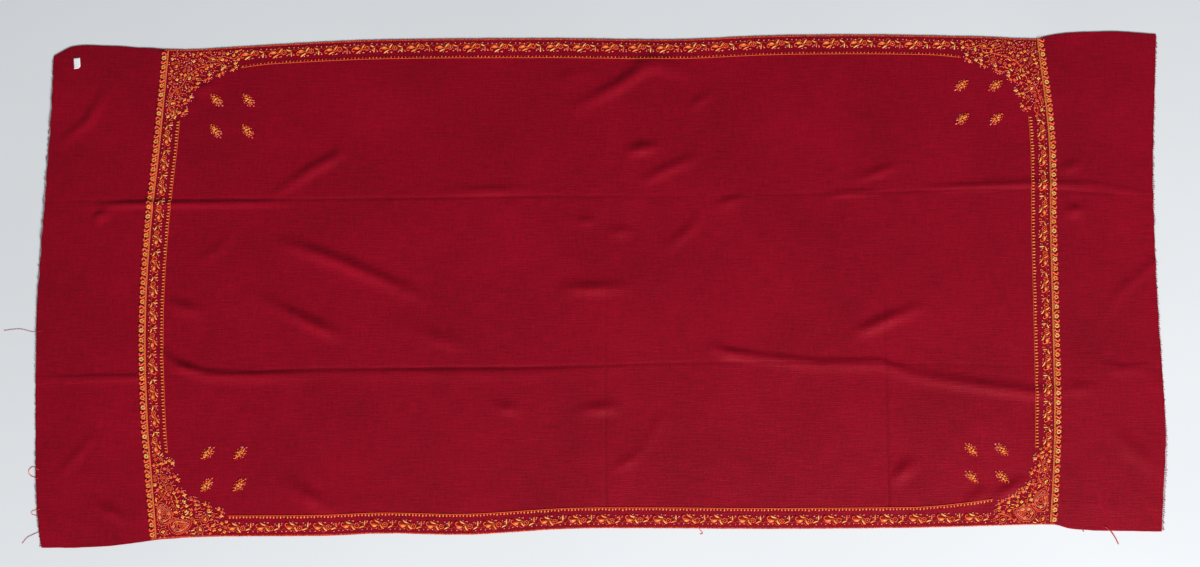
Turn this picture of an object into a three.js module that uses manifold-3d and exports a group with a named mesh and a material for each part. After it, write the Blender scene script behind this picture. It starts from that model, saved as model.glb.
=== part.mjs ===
// An embroidered wool shawl laid flat, in millimetres.
// X runs along its length, Y across it and Z up. The origin is at the middle of the underside.
import * as THREE from 'three';
import * as BufferGeometryUtils from 'three/addons/utils/BufferGeometryUtils.js';
import Module from 'manifold-3d';

const length = 2030;
const width = 932;
const clothWall = 1.2;
const threadGap = 0.3; // clear space between the cloth and what is sewn on it
const threadRelief = 0.8; // how thick the embroidery lies
const labelRelief = 0.5;
const columnStep = 50; // grid of the cloth along its length
const rowStep = 37; // and across it
const fineRowStep = 15; // where the long folds run
const longFoldY = [158, -150];
const longFoldZone = 42;
const sideBandDepth = 43; // border near each short end, edging included
const edgingDepth = 13; // rosettes, curls and stem at its outer side
const longBandDepth = 36; // border along each long edge
const edgeMargin = 4; // bare cloth between a long edge and its border
const pieceClearance = 1.5; // between neighbouring embroidered pieces
const cornerMargin = 12; // from a corner group's reach to the border beside it
const scallopPitch = 16.8; // one rosette and one curl
const scallopDip = 4; // how deep the edging's outer side dips between rosettes
const scallopPoints = 3;
const lobeSides = 9;
const sprigLength = 33;
const sprigWidth = 17;
const leafSteps = 5;
const cutterFloor = -5; // the outlines are extruded past the cloth both ways
const cutterTop = 40;
const mergeDistance = 1e-4;

const { mapLinear } = THREE.MathUtils;

const halfLength = length / 2;
const halfWidth = width / 2;

// How far each edge lies inside the length by width rectangle, at places along it.
const topInset = [
	{ at: -1015, inset: 46 },
	{ at: -980, inset: 28 },
	{ at: -930, inset: 26 },
	{ at: -860, inset: 30 },
	{ at: -770, inset: 34 },
	{ at: -660, inset: 28 },
	{ at: -500, inset: 19 },
	{ at: -390, inset: 15 },
	{ at: -100, inset: 13 },
	{ at: 130, inset: 15 },
	{ at: 300, inset: 8 },
	{ at: 490, inset: 6 },
	{ at: 700, inset: 10 },
	{ at: 800, inset: 13 },
	{ at: 860, inset: 2 },
	{ at: 940, inset: 0 },
	{ at: 1015, inset: 5 },
];
const bottomInset = [
	{ at: -1015, inset: 0 },
	{ at: -955, inset: 0 },
	{ at: -880, inset: 4 },
	{ at: -800, inset: 14 },
	{ at: -720, inset: 19 },
	{ at: -500, inset: 21 },
	{ at: -390, inset: 25 },
	{ at: -240, inset: 23 },
	{ at: -60, inset: 33 },
	{ at: 100, inset: 34 },
	{ at: 290, inset: 33 },
	{ at: 560, inset: 35 },
	{ at: 760, inset: 40 },
	{ at: 860, inset: 31 },
	{ at: 1015, inset: 28 },
];
const leftInset = [
	{ at: -466, inset: 24 },
	{ at: -390, inset: 14 },
	{ at: -290, inset: 8 },
	{ at: -130, inset: 2 },
	{ at: 0, inset: 0 },
	{ at: 200, inset: 6 },
	{ at: 390, inset: 11 },
	{ at: 466, inset: 10 },
];
const rightInset = [
	{ at: -466, inset: 28 },
	{ at: -390, inset: 22 },
	{ at: -280, inset: 12 },
	{ at: -180, inset: 12 },
	{ at: 60, inset: 19 },
	{ at: 200, inset: 17 },
	{ at: 330, inset: 10 },
	{ at: 466, inset: 0 },
];

// The outer line of each side band, at places across the shawl.
const leftBand = [
	{ at: -440, x: -800 },
	{ at: -340, x: -811 },
	{ at: -250, x: -821 },
	{ at: -80, x: -831 },
	{ at: 90, x: -828 },
	{ at: 270, x: -815 },
	{ at: 440, x: -805 },
];
const rightBand = [
	{ at: -440, x: 800 },
	{ at: -340, x: 809 },
	{ at: -250, x: 815 },
	{ at: -80, x: 818 },
	{ at: 90, x: 819 },
	{ at: 270, x: 822 },
	{ at: 440, x: 808 },
];

// The largest folds: ridges that rise along a path, with how far each reaches to its sides.
const on = (x, y, rise) => ({ x, y, rise });
const folds = [
	{ reach: 30, path: [on(-940, 150, 0), on(-860, 151, 7), on(-640, 150, 7), on(-560, 150, 3)] },
	{ reach: 24, path: [on(-560, 150, 3), on(-295, 155, 4), on(-145, 160, 4), on(-20, 160, 0)] },
	{ reach: 24, path: [on(290, 160, 0), on(400, 162, 4), on(515, 165, 0)] },
	{ reach: 28, path: [on(570, 169, 0), on(650, 171, 6), on(775, 175, 6)] },
	{ reach: 28, path: [on(775, 175, 6), on(900, 170, 5), on(1005, 160, 3)] },
	{ reach: 30, path: [on(-1005, -172, 3), on(-950, -170, 6), on(-830, -165, 5), on(-800, -163, 0)] },
	{ reach: 34, path: [on(-785, -120, 0), on(-710, -157, 8), on(-615, -165, 8), on(-500, -155, 7)] },
	{ reach: 32, path: [on(-500, -155, 7), on(-290, -150, 8), on(-5, -146, 7), on(225, -140, 0)] },
	{ reach: 44, path: [on(190, -107, 0), on(270, -125, 8), on(390, -140, 9), on(495, -137, 7)] },
	{ reach: 42, path: [on(495, -137, 7), on(565, -158, 9), on(675, -175, 8)] },
	{ reach: 42, path: [on(675, -175, 8), on(775, -190, 7), on(890, -190, 0)] },
	{ reach: 40, path: [on(-600, 84, 0), on(-510, 60, 9), on(-415, 15, 8), on(-310, -34, 0)] },
	{ reach: 34, path: [on(-620, -15, 0), on(-550, -50, 6), on(-465, -103, 0)] },
	{ reach: 34, path: [on(-605, 170, 0), on(-530, 205, 6), on(-460, 238, 0)] },
	{ reach: 34, path: [on(65, 181, 0), on(130, 208, 6), on(190, 234, 0)] },
	{ reach: 34, path: [on(105, 48, 0), on(160, 90, 7), on(190, 132, 0)] },
	{ reach: 32, path: [on(-80, 0, 0), on(-10, -3, 6), on(60, -6, 0)] },
	{ reach: 40, path: [on(-70, 318, 0), on(30, 365, 8), on(85, 400, 5), on(165, 372, 0)] },
	{ reach: 36, path: [on(445, -80, 0), on(515, -55, 7), on(585, -32, 0)] },
	{ reach: 36, path: [on(10, -333, 0), on(75, -295, 6), on(118, -230, 0)] },
	{ reach: 34, path: [on(880, -70, 0), on(930, 0, 5), on(1000, 47, 3)] },
	{ reach: 34, path: [on(905, -235, 0), on(945, -285, 5), on(980, -330, 0)] },
	{ reach: 34, path: [on(-975, -345, 0), on(-935, -305, 5), on(-895, -270, 0)] },
];

// Each corner group: its dense wedge and the lobes along its inner side, measured inwards
// from where the edging meets the long edge.
const cornerLobes = [
	{ along: 1, across: 0.3, radius: 11 },
	{ along: 0.82, across: 0.33, radius: 10 },
	{ along: 0.6, across: 0.42, radius: 14 },
	{ along: 0.4, across: 0.52, radius: 11 },
	{ along: 0.34, across: 0.72, radius: 13 },
	{ along: 0.28, across: 0.93, radius: 12 },
];
const corners = [
	{ name: 'top_left', endSide: -1, edgeSide: 1, along: 118, across: 116 },
	{ name: 'top_right', endSide: 1, edgeSide: 1, along: 128, across: 128 },
	{ name: 'bottom_left', endSide: -1, edgeSide: -1, along: 112, across: 134 },
	{ name: 'bottom_right', endSide: 1, edgeSide: -1, along: 84, across: 118 },
];

// The middle of each group of four sprigs, and the steps between them.
const sprigGroups = [
	{ name: 'top_left', x: -675, y: 309, stepX: 58, stepY: 57, turn: -48 },
	{ name: 'top_right', x: 686, y: 334, stepX: 62, stepY: 62, turn: -140 },
	{ name: 'bottom_left', x: -673, y: -328, stepX: 58, stepY: 56, turn: 46 },
	{ name: 'bottom_right', x: 681, y: -318, stepX: 54, stepY: 48, turn: 135 },
];

const label = { x: -961, y: 406, wide: 12.5, tall: 21, clip: 4, turn: 6 };

// Smooth reading of a table of { at, key } rows.
function readTable(rows, key, at) {
	const last = rows.length - 1;
	let i = 0;
	while (i < last - 1 && at > rows[i + 1].at) i += 1;
	const slope = (k) => {
		const before = rows[Math.max(k - 1, 0)];
		const after = rows[Math.min(k + 1, last)];
		return (after[key] - before[key]) / (after.at - before.at);
	};
	const span = rows[i + 1].at - rows[i].at;
	const t = THREE.MathUtils.clamp((at - rows[i].at) / span, 0, 1);
	const ease = t * t * (3 - 2 * t);
	const risingIn = t * (1 - t) * (1 - t) * span;
	const risingOut = t * t * (t - 1) * span;
	return THREE.MathUtils.lerp(rows[i][key], rows[i + 1][key], ease)
		+ slope(i) * risingIn + slope(i + 1) * risingOut;
}

const topY = (x) => halfWidth - readTable(topInset, 'inset', x);
const bottomY = (x) => readTable(bottomInset, 'inset', x) - halfWidth;
const leftX = (y) => readTable(leftInset, 'inset', y) - halfLength;
const rightX = (y) => halfLength - readTable(rightInset, 'inset', y);
const edgeY = (side, x) => (side > 0 ? topY(x) : bottomY(x));
const bandX = (side, y) => readTable(side > 0 ? rightBand : leftBand, 'x', y);

// Height of the cloth's underside above the surface it lies on.
function lift(x, y) {
	let height = 0;
	for (const { reach, path } of folds) {
		for (let i = 0; i < path.length - 1; i += 1) {
			const [a, b] = [path[i], path[i + 1]];
			const [runX, runY] = [b.x - a.x, b.y - a.y];
			const across = (x - a.x) * runX + (y - a.y) * runY;
			const t = THREE.MathUtils.clamp(across / (runX * runX + runY * runY), 0, 1);
			const away = Math.hypot(x - a.x - t * runX, y - a.y - t * runY) / reach;
			if (away >= 1) continue;
			const bump = (1 - away * away) ** 2;
			height = Math.max(height, THREE.MathUtils.lerp(a.rise, b.rise, t) * bump);
		}
	}
	return height;
}

function gridLines(half, step, fineStep, isFine) {
	const lines = [-half];
	while (lines.at(-1) < half) {
		const here = lines.at(-1);
		lines.push(here + (isFine(here) ? fineStep : step));
	}
	const stretch = (2 * half) / (lines.at(-1) + half);
	return lines.map((line) => (line + half) * stretch - half);
}

const nearLongFold = (y) => longFoldY.some((foldY) => Math.abs(y - foldY) < longFoldZone);
const columns = gridLines(halfLength, columnStep, columnStep, () => false);
const rows = gridLines(halfWidth, rowStep, fineRowStep, nearLongFold);

// A closed sheet over the whole shawl, from one height above the underside to another.
function sheetGeometry(from, to) {
	const positions = [];
	const index = [];
	const wide = columns.length;
	const perLayer = wide * rows.length;
	for (const offset of [from, to]) {
		for (const row of rows) {
			for (const column of columns) {
				const x = mapLinear(column, -halfLength, halfLength, leftX(row), rightX(row));
				const y = mapLinear(row, -halfWidth, halfWidth, bottomY(column), topY(column));
				positions.push(x, y, lift(x, y) + offset);
			}
		}
	}
	const quad = (a, b, c, d) => index.push(a, b, c, a, c, d);
	for (let r = 0; r < rows.length - 1; r += 1) {
		for (let c = 0; c < wide - 1; c += 1) {
			const a = r * wide + c;
			const b = a + 1;
			const d = a + wide;
			quad(perLayer + a, perLayer + b, perLayer + d + 1, perLayer + d);
			quad(a, d, d + 1, b);
		}
	}
	const wallBetween = (a, b) => quad(a, b, perLayer + b, perLayer + a);
	for (let c = 0; c < wide - 1; c += 1) {
		wallBetween(c, c + 1);
		wallBetween(perLayer - wide + c + 1, perLayer - wide + c);
	}
	for (let r = 0; r < rows.length - 1; r += 1) {
		wallBetween((r + 1) * wide, r * wide);
		wallBetween(r * wide + wide - 1, (r + 1) * wide + wide - 1);
	}
	const geometry = new THREE.BufferGeometry();
	geometry.setAttribute('position', new THREE.Float32BufferAttribute(positions, 3));
	geometry.setIndex(index);
	return geometry;
}

const wasm = await Module();
wasm.setup();

function toSolid(geometry) {
	const bare = geometry.clone();
	bare.deleteAttribute('normal');
	bare.deleteAttribute('uv');
	const merged = BufferGeometryUtils.mergeVertices(bare, mergeDistance);
	return new wasm.Manifold(new wasm.Mesh({
		numProp: 3,
		vertProperties: new Float32Array(merged.attributes.position.array),
		triVerts: new Uint32Array(merged.index.array),
	}));
}

function toGeometry(solid) {
	const { vertProperties, triVerts } = solid.getMesh();
	const geometry = new THREE.BufferGeometry();
	geometry.setAttribute('position', new THREE.Float32BufferAttribute(vertProperties, 3));
	geometry.setIndex([...triVerts]);
	return geometry;
}

// An upright prism over an outline given as points in plan.
function prism(points) {
	const shape = new THREE.Shape(points);
	const depth = cutterTop - cutterFloor;
	const geometry = new THREE.ExtrudeGeometry(shape, { depth, bevelEnabled: false });
	geometry.translate(0, 0, cutterFloor);
	return toSolid(geometry);
}

const threadSheet = toSolid(sheetGeometry(clothWall + threadGap, clothWall + threadGap + threadRelief));
const labelSheet = toSolid(sheetGeometry(clothWall + threadGap, clothWall + threadGap + labelRelief));
const cutFrom = (sheet, cutter) => toGeometry(sheet.intersect(cutter));

// Points from one end of a line to the other, no further apart than the step.
function stations(from, to, step) {
	const count = Math.ceil(Math.abs(to - from) / step);
	return Array.from({ length: count + 1 }, (_, i) => THREE.MathUtils.lerp(from, to, i / count));
}

const point = (x, y) => new THREE.Vector2(x, y);

// Rosettes and curls stand out along the outer side of the edging; its inner side is the stem.
function edgingOutline(side) {
	const reachY = (x, edge) => edgeY(edge, x) - edge * edgeMargin;
	const from = reachY(bandX(side, -halfWidth), -1);
	const to = reachY(bandX(side, halfWidth), 1);
	const outer = stations(from, to, scallopPitch / scallopPoints).map((y, i) => {
		const dip = i % scallopPoints === 0 ? scallopDip : 0;
		return point(bandX(side, y) - side * dip, y);
	});
	const inner = stations(to, from, rowStep).map((y) => point(bandX(side, y) - side * edgingDepth, y));
	return [...outer, ...inner];
}

function cornerAt(endSide, edgeSide) {
	return corners.find((corner) => corner.endSide === endSide && corner.edgeSide === edgeSide);
}

// Where a corner group starts: beside the stem and just inside the long edge.
function cornerStart({ endSide, edgeSide }) {
	const roughY = edgeSide * (halfWidth - longBandDepth);
	const x = bandX(endSide, roughY) - endSide * (edgingDepth + pieceClearance);
	return point(x, edgeY(edgeSide, x) - edgeSide * edgeMargin);
}

function sideBorderOutline(side) {
	const end = (edge) => {
		const corner = cornerAt(side, edge);
		return cornerStart(corner).y - edge * (corner.across + cornerMargin);
	};
	const ys = stations(end(-1), end(1), 2 * rowStep);
	const outer = ys.map((y) => point(bandX(side, y) - side * (edgingDepth + pieceClearance), y));
	const inner = ys.map((y) => point(bandX(side, y) - side * sideBandDepth, y));
	return [...outer, ...inner.reverse()];
}

function longBorderOutline(edge) {
	const end = (side) => {
		const corner = cornerAt(side, edge);
		return cornerStart(corner).x - side * (corner.along + cornerMargin);
	};
	const xs = stations(end(-1), end(1), 2 * columnStep);
	const outer = xs.map((x) => point(x, edgeY(edge, x) - edge * edgeMargin));
	const inner = xs.map((x) => point(x, edgeY(edge, x) - edge * longBandDepth));
	return [...outer, ...inner.reverse()];
}

function cornerCutter(corner) {
	const start = cornerStart(corner);
	const place = (along, across) => {
		const x = start.x - corner.endSide * along;
		return point(x, edgeY(corner.edgeSide, x) - corner.edgeSide * (edgeMargin + across));
	};
	const centres = cornerLobes.map(({ along, across }) => place(along * corner.along, across * corner.across));
	const reachAlong = place(corner.along, 0);
	const lastY = centres.at(-1).y;
	const stemX = bandX(corner.endSide, lastY) - corner.endSide * (edgingDepth + pieceClearance);
	const reachAcross = point(stemX, lastY);
	let cutter = prism([start, reachAlong, ...centres, reachAcross]);
	cornerLobes.forEach(({ radius }, i) => {
		const disc = new THREE.CylinderGeometry(radius, radius, cutterTop - cutterFloor, lobeSides);
		disc.rotateX(Math.PI / 2);
		disc.translate(centres[i].x, centres[i].y, (cutterTop + cutterFloor) / 2);
		cutter = cutter.add(toSolid(disc));
	});
	return cutter;
}

// A leaf with its stalk at one end, turned to its corner.
function sprigOutline(x, y, turn) {
	const leaf = new THREE.Shape();
	leaf.moveTo(-sprigLength / 2, 0);
	leaf.quadraticCurveTo(-sprigLength / 8, sprigWidth, sprigLength / 2, sprigWidth / 4);
	leaf.lineTo(sprigLength / 2, -sprigWidth / 4);
	leaf.quadraticCurveTo(-sprigLength / 8, -sprigWidth, -sprigLength / 2, 0);
	const centre = point(0, 0);
	const points = leaf.getPoints(leafSteps).slice(0, -1);
	return points.map((p) => p.rotateAround(centre, THREE.MathUtils.degToRad(turn)).add(point(x, y)));
}

function labelOutline({ x, y, wide, tall, clip, turn }) {
	const [w, h] = [wide / 2, tall / 2];
	const points = [point(-w, -h), point(w - clip, -h), point(w, clip - h), point(w, h), point(-w, h)];
	const centre = point(0, 0);
	return points.map((p) => p.rotateAround(centre, THREE.MathUtils.degToRad(turn)).add(point(x, y)));
}

const wool = new THREE.MeshStandardMaterial({ color: '#8c1226', roughness: 0.9, metalness: 0 });
const goldThread = new THREE.MeshStandardMaterial({ color: '#d9a03c', roughness: 0.6, metalness: 0 });
const orangeThread = new THREE.MeshStandardMaterial({ color: '#d9642a', roughness: 0.6, metalness: 0 });
const coralThread = new THREE.MeshStandardMaterial({ color: '#d8553f', roughness: 0.6, metalness: 0 });
const creamThread = new THREE.MeshStandardMaterial({ color: '#e6c489', roughness: 0.6, metalness: 0 });
const tape = new THREE.MeshStandardMaterial({ color: '#ece9e2', roughness: 0.8, metalness: 0 });

const shawl = new THREE.Group();

function addPiece(name, geometry, material) {
	const piece = new THREE.Mesh(geometry, material);
	piece.name = name;
	shawl.add(piece);
}

addPiece('cloth', sheetGeometry(0, clothWall), wool);
for (const [name, side] of [['left', -1], ['right', 1]]) {
	addPiece(`edging_${name}`, cutFrom(threadSheet, prism(edgingOutline(side))), goldThread);
	addPiece(`border_${name}`, cutFrom(threadSheet, prism(sideBorderOutline(side))), orangeThread);
}
for (const [name, edge] of [['top', 1], ['bottom', -1]]) {
	addPiece(`border_${name}`, cutFrom(threadSheet, prism(longBorderOutline(edge))), orangeThread);
}
for (const corner of corners) {
	addPiece(`corner_${corner.name}`, cutFrom(threadSheet, cornerCutter(corner)), coralThread);
}
for (const group of sprigGroups) {
	let number = 0;
	for (const sideY of [0.5, -0.5]) {
		for (const sideX of [-0.5, 0.5]) {
			number += 1;
			const x = group.x + sideX * group.stepX;
			const y = group.y + sideY * group.stepY;
			const sprig = cutFrom(threadSheet, prism(sprigOutline(x, y, group.turn)));
			addPiece(`sprig_${group.name}_${number}`, sprig, creamThread);
		}
	}
}
addPiece('label', cutFrom(labelSheet, prism(labelOutline(label))), tape);

export default shawl;
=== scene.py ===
import math
import random

import bpy
import numpy as np
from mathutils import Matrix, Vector


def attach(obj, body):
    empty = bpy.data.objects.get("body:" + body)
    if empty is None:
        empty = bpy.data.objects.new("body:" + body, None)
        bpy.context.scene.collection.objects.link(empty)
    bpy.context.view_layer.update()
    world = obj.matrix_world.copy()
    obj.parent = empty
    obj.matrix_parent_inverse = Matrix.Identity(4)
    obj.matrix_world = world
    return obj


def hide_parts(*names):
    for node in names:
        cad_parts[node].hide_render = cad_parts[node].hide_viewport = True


# An embroidered wool shawl laid flat. X runs along it, Y across it and Z up.
# Tables and plans are in millimetres, and meshes in metres.
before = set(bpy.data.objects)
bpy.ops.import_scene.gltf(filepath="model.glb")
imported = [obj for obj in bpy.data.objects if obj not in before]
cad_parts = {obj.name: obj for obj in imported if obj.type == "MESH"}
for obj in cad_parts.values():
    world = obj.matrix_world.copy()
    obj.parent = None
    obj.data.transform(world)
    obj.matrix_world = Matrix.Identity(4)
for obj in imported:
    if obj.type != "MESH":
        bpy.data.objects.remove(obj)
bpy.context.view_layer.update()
mm = 0.001

shawl = {
    "length": 2030, "width": 932, "wall": 0.7,
    "cell": 7.4,  # grid of the cloth
    "fineCell": 2.2, "fineReach": 22.0,  # and beside a pressed line
    "rim": 1.2,  # the outermost cells, so that the edge looks cut and not padded
    "pressedAcross": (5, 505), "pressedAlong": (162, -148),
    "flat": (0.92, 2.03), "flatArea": 1.80,  # the cut, in metres and square metres
}
halfLength = shawl["length"] / 2
halfWidth = shawl["width"] / 2

# how far each edge lies inside the length by width rectangle, as (place along it, inset)
topInset = (
    (-1015, 46), (-980, 28), (-930, 26), (-860, 30), (-770, 34), (-660, 28), (-500, 19), (-390, 15),
    (-100, 13), (130, 15), (300, 8), (490, 6), (700, 10), (795, 13.5), (812, 8), (860, 2), (940, 0),
    (1015, 5),
)
bottomInset = (
    (-1015, 0), (-955, 0), (-880, 4), (-800, 14), (-720, 19), (-500, 21), (-390, 25), (-240, 23),
    (-60, 33), (100, 34), (290, 33), (560, 35), (760, 40), (822, 40), (845, 34), (880, 30.5),
    (1015, 28),
)
leftInset = (
    (-466, 24), (-390, 14), (-290, 8), (-130, 2), (0, 0), (200, 6), (390, 11), (466, 10),
)
rightInset = (
    (-466, 28), (-390, 22), (-280, 13.5), (-165, 16), (60, 19.5), (200, 17), (330, 10), (466, 0),
)
# the outer line of each side band, as (place across the shawl, x)
leftBand = ((-440, -800), (-340, -811), (-250, -821), (-80, -831), (90, -828), (270, -815), (440, -805))
rightBand = ((-440, 800), (-340, 809), (-250, 815), (-80, 818), (90, 819), (270, 822), (440, 808))

# ridges along a path: reach to its right and to its left, then (x, y, rise) points from left to right
folds = (
    (12, 8, (-940, 142, 0), (-860, 146, 3.0), (-640, 148, 1.9), (-545, 150, 0)),
    (16, 12, (-300, 169, 0), (-200, 171, 2.0), (-120, 175, 0)),
    (12, 8, (395, 164, 0), (450, 167, 1.9), (515, 170, 0)),
    (13, 10, (575, 175, 0), (650, 178, 1.6), (775, 184, 2.2), (900, 181, 0.9), (1010, 159, 0.4)),
    (11, 8, (-1010, -170, 0.6), (-950, -168, 1.4), (-835, -166, 2.0), (-800, -162, 0)),
    (16, 12, (-801, -113, 0), (-755, -147, 6.0), (-710, -161, 3.7), (-615, -164, 2.9),
     (-500, -160, 0.9)),
    (16, 12, (-500, -160, 0.9), (-290, -159, 1.5), (-120, -159, 1.1), (-5, -150, 0.2), (110, -145, 0)),
    (18, 13, (180, -107, 0), (225, -122, 3.8), (270, -129, 2.0), (390, -142, 2.2), (495, -141, 2.3)),
    (17, 13, (495, -141, 2.3), (564, -164, 2.2), (674, -181, 3.9), (768, -193, 3.2),
     (820, -190, 0.9), (890, -183, 0)),
    (20, 14, (-599, 85, 0), (-511, 56, 5.9), (-414, 18, 6.0), (-350, -12, 2.9), (-308, -31, 0)),
    (18, 13, (-622, -17, 0), (-553, -55, 5.3), (-506, -77, 6.4), (-463, -99, 0)),
    (16, 12, (-600, 160, 0), (-531, 208, 4.2), (-494, 228, 4.0), (-464, 248, 0)),
    (16, 12, (64, 185, 0), (96, 200, 3.1), (126, 215, 3.3), (187, 240, 0)),
    (15, 11, (100, 55, 0), (152, 95, 2.8), (183, 137, 0)),
    (17, 13, (-80, -3, 0), (-45, -6, 3.5), (-10, -6, 4.1), (60, -6, 0)),
    (20, 14, (-67, 314, 0), (-19, 341, 2.5), (30, 366, 4.6), (73, 397, 4.7)),
    (22, 24, (72, 397, 4.6), (100, 404, 3.6), (169, 382, 0)),
    (18, 13, (447, -87, 0), (475, -77, 4.1), (516, -60, 4.2), (585, -34, 0)),
    (14, 11, (11, -333, 0), (46, -314, 2.2), (71, -293, 0.6), (101, -246, 1.3), (112, -227, 0)),
    (14, 11, (886, -77, 0), (935, -7, 1.5), (1006, 49, 2.0)),
    (23, 18, (899, -238, 0), (936, -292, 2.5), (984, -329, 0.6)),
    (12, 10, (-972, -348, 0), (-934, -306, 2.6), (-901, -263, 0)),
)
# smaller creases, written the same way
creases = (
    (16, 12, (875, -142, 0), (930, -152, 2.0), (990, -147, 0)),
    (17, 13, (36, 241, 0), (71, 248, 5.8), (106, 254, 0)),
    (16, 12, (194, 138, 0), (229, 151, 2.1), (263, 161, 0)),
    (11, 8, (-55, 116, 0), (-30, 116, 2.9), (-5, 117, 0)),
    (14, 11, (5, 99, 0), (30, 96, 3.7), (56, 95, 0)),
    (17, 13, (-98, 369, 0), (-55, 383, 1.3), (-13, 394, 0)),
    (11, 8, (151, 319, 0), (178, 337, 3.1), (204, 354, 0)),
    (13, 10, (455, 190, 0), (499, 205, 3.6), (544, 220, 0)),
    (16, 12, (-50, -225, 0), (-5, -221, 4.2), (40, -219, 0)),
    (14, 11, (-199, -212, 0), (-170, -221, 3.7), (-142, -228, 0)),
    (21, 16, (-569, -342, 0), (-521, -377, 5.2), (-467, -409, 0)),
    (19, 14, (512, -354, 0), (532, -331, 4.5), (553, -308, 0)),
    (16, 12, (690, -383, 0), (722, -362, 3.8), (752, -341, 0)),
    (16, 12, (632, -394, 0), (661, -378, 2.7), (686, -361, 0)),
    (16, 12, (-781, -28, 0), (-746, -42, 5.0), (-712, -56, 0)),
    (15, 11, (-738, 39, 0), (-696, 62, 1.9), (-662, 98, 0)),
    (16, 12, (-745, 353, 0), (-725, 361, 3.9), (-703, 365, 0)),
    (16, 12, (-922, 112, 0), (-906, 126, 4.5), (-892, 142, 0)),
    (14, 11, (-907, -380, 0), (-872, -403, 4.6), (-835, -423, 0)),
    (14, 11, (-992, 253, 0), (-935, 300, 4.4), (-900, 369, 0)),
    (15, 11, (828, 205, 0), (848, 215, 3.7), (869, 223, 0)),
    (18, 13, (834, 137, 0), (854, 135, 4.8), (873, 132, 0)),
    (18, 13, (830, -182, 0), (850, -185, 2.2), (880, -183, 0)),
    (11, 8, (921, -351, 0), (940, -365, 0.5), (965, -371, 0)),
    (21, 16, (-350, -77, 0), (-293, -98, 2.9), (-238, -113, 0)),
    (18, 13, (-330, 249, 0), (-290, 265, 0.3), (-240, 270, 0)),
)
# sharp grooves where the shawl was folded away: half width each side, then (x, y, depth) points
presses = (
    (4.2, 4.2, (-1008, 150, 0.3), (-860, 155, 0.3), (-640, 156, 0.5), (-560, 155, 0.6),
     (-295, 158, 0.8), (-145, 161, 0.7), (-20, 161, 0.4), (130, 161, 0.1), (290, 163, 0.2),
     (400, 166, 0.5), (480, 167, 0.6), (570, 170, 0.6), (680, 174, 0.6), (775, 174, 0.4),
     (1005, 160, 0.3)),
    (4.2, 4.2, (-1010, -172, 0.3), (-800, -165, 0.3), (-560, -152, 0.6), (-285, -149, 0.9),
     (-140, -148, 0.9), (-5, -145, 0.6), (65, -142, 0.5), (225, -139, 0.5), (420, -139, 0.3),
     (900, -148, 0.2), (1005, -150, 0.4)),
    (3.6, 3.6, (5, 60, 0), (5, -20, 0.3), (4, -200, 0.5), (5, -396, 0.7)),
    (3.6, 3.6, (505, 60, 0), (505, -20, 0.4), (506, -200, 0.8), (506, -392, 1.2)),
)


def readTable(rows, at):  # smooth reading of (place, value) rows
    places, values = np.array(rows, float).T
    last = len(rows) - 1
    before = np.maximum(np.arange(last + 1) - 1, 0)
    after = np.minimum(np.arange(last + 1) + 1, last)
    slopes = (values[after] - values[before]) / (places[after] - places[before])
    i = np.clip(np.searchsorted(places, at) - 1, 0, last - 1)
    span = places[i + 1] - places[i]
    t = np.clip((at - places[i]) / span, 0, 1)
    ease = t * t * (3 - 2 * t)
    bend = slopes[i] * t * (1 - t) ** 2 + slopes[i + 1] * t * t * (t - 1)
    return values[i] * (1 - ease) + values[i + 1] * ease + bend * span


def topY(x):
    return halfWidth - readTable(topInset, x)


def bottomY(x):
    return readTable(bottomInset, x) - halfWidth


def leftX(y):
    return readTable(leftInset, y) - halfLength


def rightX(y):
    return halfLength - readTable(rightInset, y)


def edgeY(side, x):
    return topY(x) if side > 0 else bottomY(x)


def bandX(side, y):
    return readTable(rightBand if side > 0 else leftBand, y)


def pathRise(x, y, rows, sharpness=0.0):  # round ridges along paths, or with 1 sharp ones
    rise = np.zeros_like(x)
    for rightReach, leftReach, *path in rows:
        for (ax, ay, fromRise), (bx, by, toRise) in zip(path, path[1:]):
            runX, runY = bx - ax, by - ay
            span = math.hypot(runX, runY)
            t = np.clip(((x - ax) * runX + (y - ay) * runY) / span**2, 0, 1)
            offX, offY = x - ax - t * runX, y - ay - t * runY
            reach = np.where(runX * offY - runY * offX > 0, leftReach, rightReach)
            away = np.minimum(np.hypot(offX, offY) / reach, 1)
            shape = (1 - away**2) ** 2 * (1 - sharpness) + (1 - away) * sharpness
            rise = np.maximum(rise, (fromRise + (toRise - fromRise) * t) * shape)
    return rise


def waves(x, y, seed, count, shortest, longest):  # a smooth random relief of about -1 to 1
    rand = np.random.RandomState(seed)
    total = np.zeros_like(x)
    for _ in range(count):
        wavelength = shortest * (longest / shortest) ** rand.rand()
        heading, phase = rand.rand(2) * 2 * math.pi
        along = x * math.cos(heading) + y * math.sin(heading)
        total += np.sin(2 * math.pi * along / wavelength + phase) * wavelength / longest
    return np.tanh(total / math.sqrt(count) * 1.6)


relief = {
    "rest": 0.3,
    "sag": 0.5, "sagWaves": (4, 26, 90, 320),  # seed, count, shortest and longest wave
    "crumple": 0.16, "crumpleWaves": (9, 60, 22, 70),
    "edgeReach": 40, "edgeShare": 0.15,  # towards its long edges the cloth lies closer to the floor
    "lowest": 0.02,
}


def clothRise(x, y):  # the height of the cloth's underside
    rise = pathRise(x, y, folds) + pathRise(x, y, creases) + relief["rest"]
    for kind in ("sag", "crumple"):
        rise = rise + relief[kind] * (1 + waves(x, y, *relief[kind + "Waves"]))
    toEdge = np.clip(np.minimum(topY(x) - y, y - bottomY(x)) / relief["edgeReach"], 0, 1)
    rise = rise * (relief["edgeShare"] + (1 - relief["edgeShare"]) * toEdge)
    return np.maximum(rise - pathRise(x, y, presses, sharpness=0.8), relief["lowest"])


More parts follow.
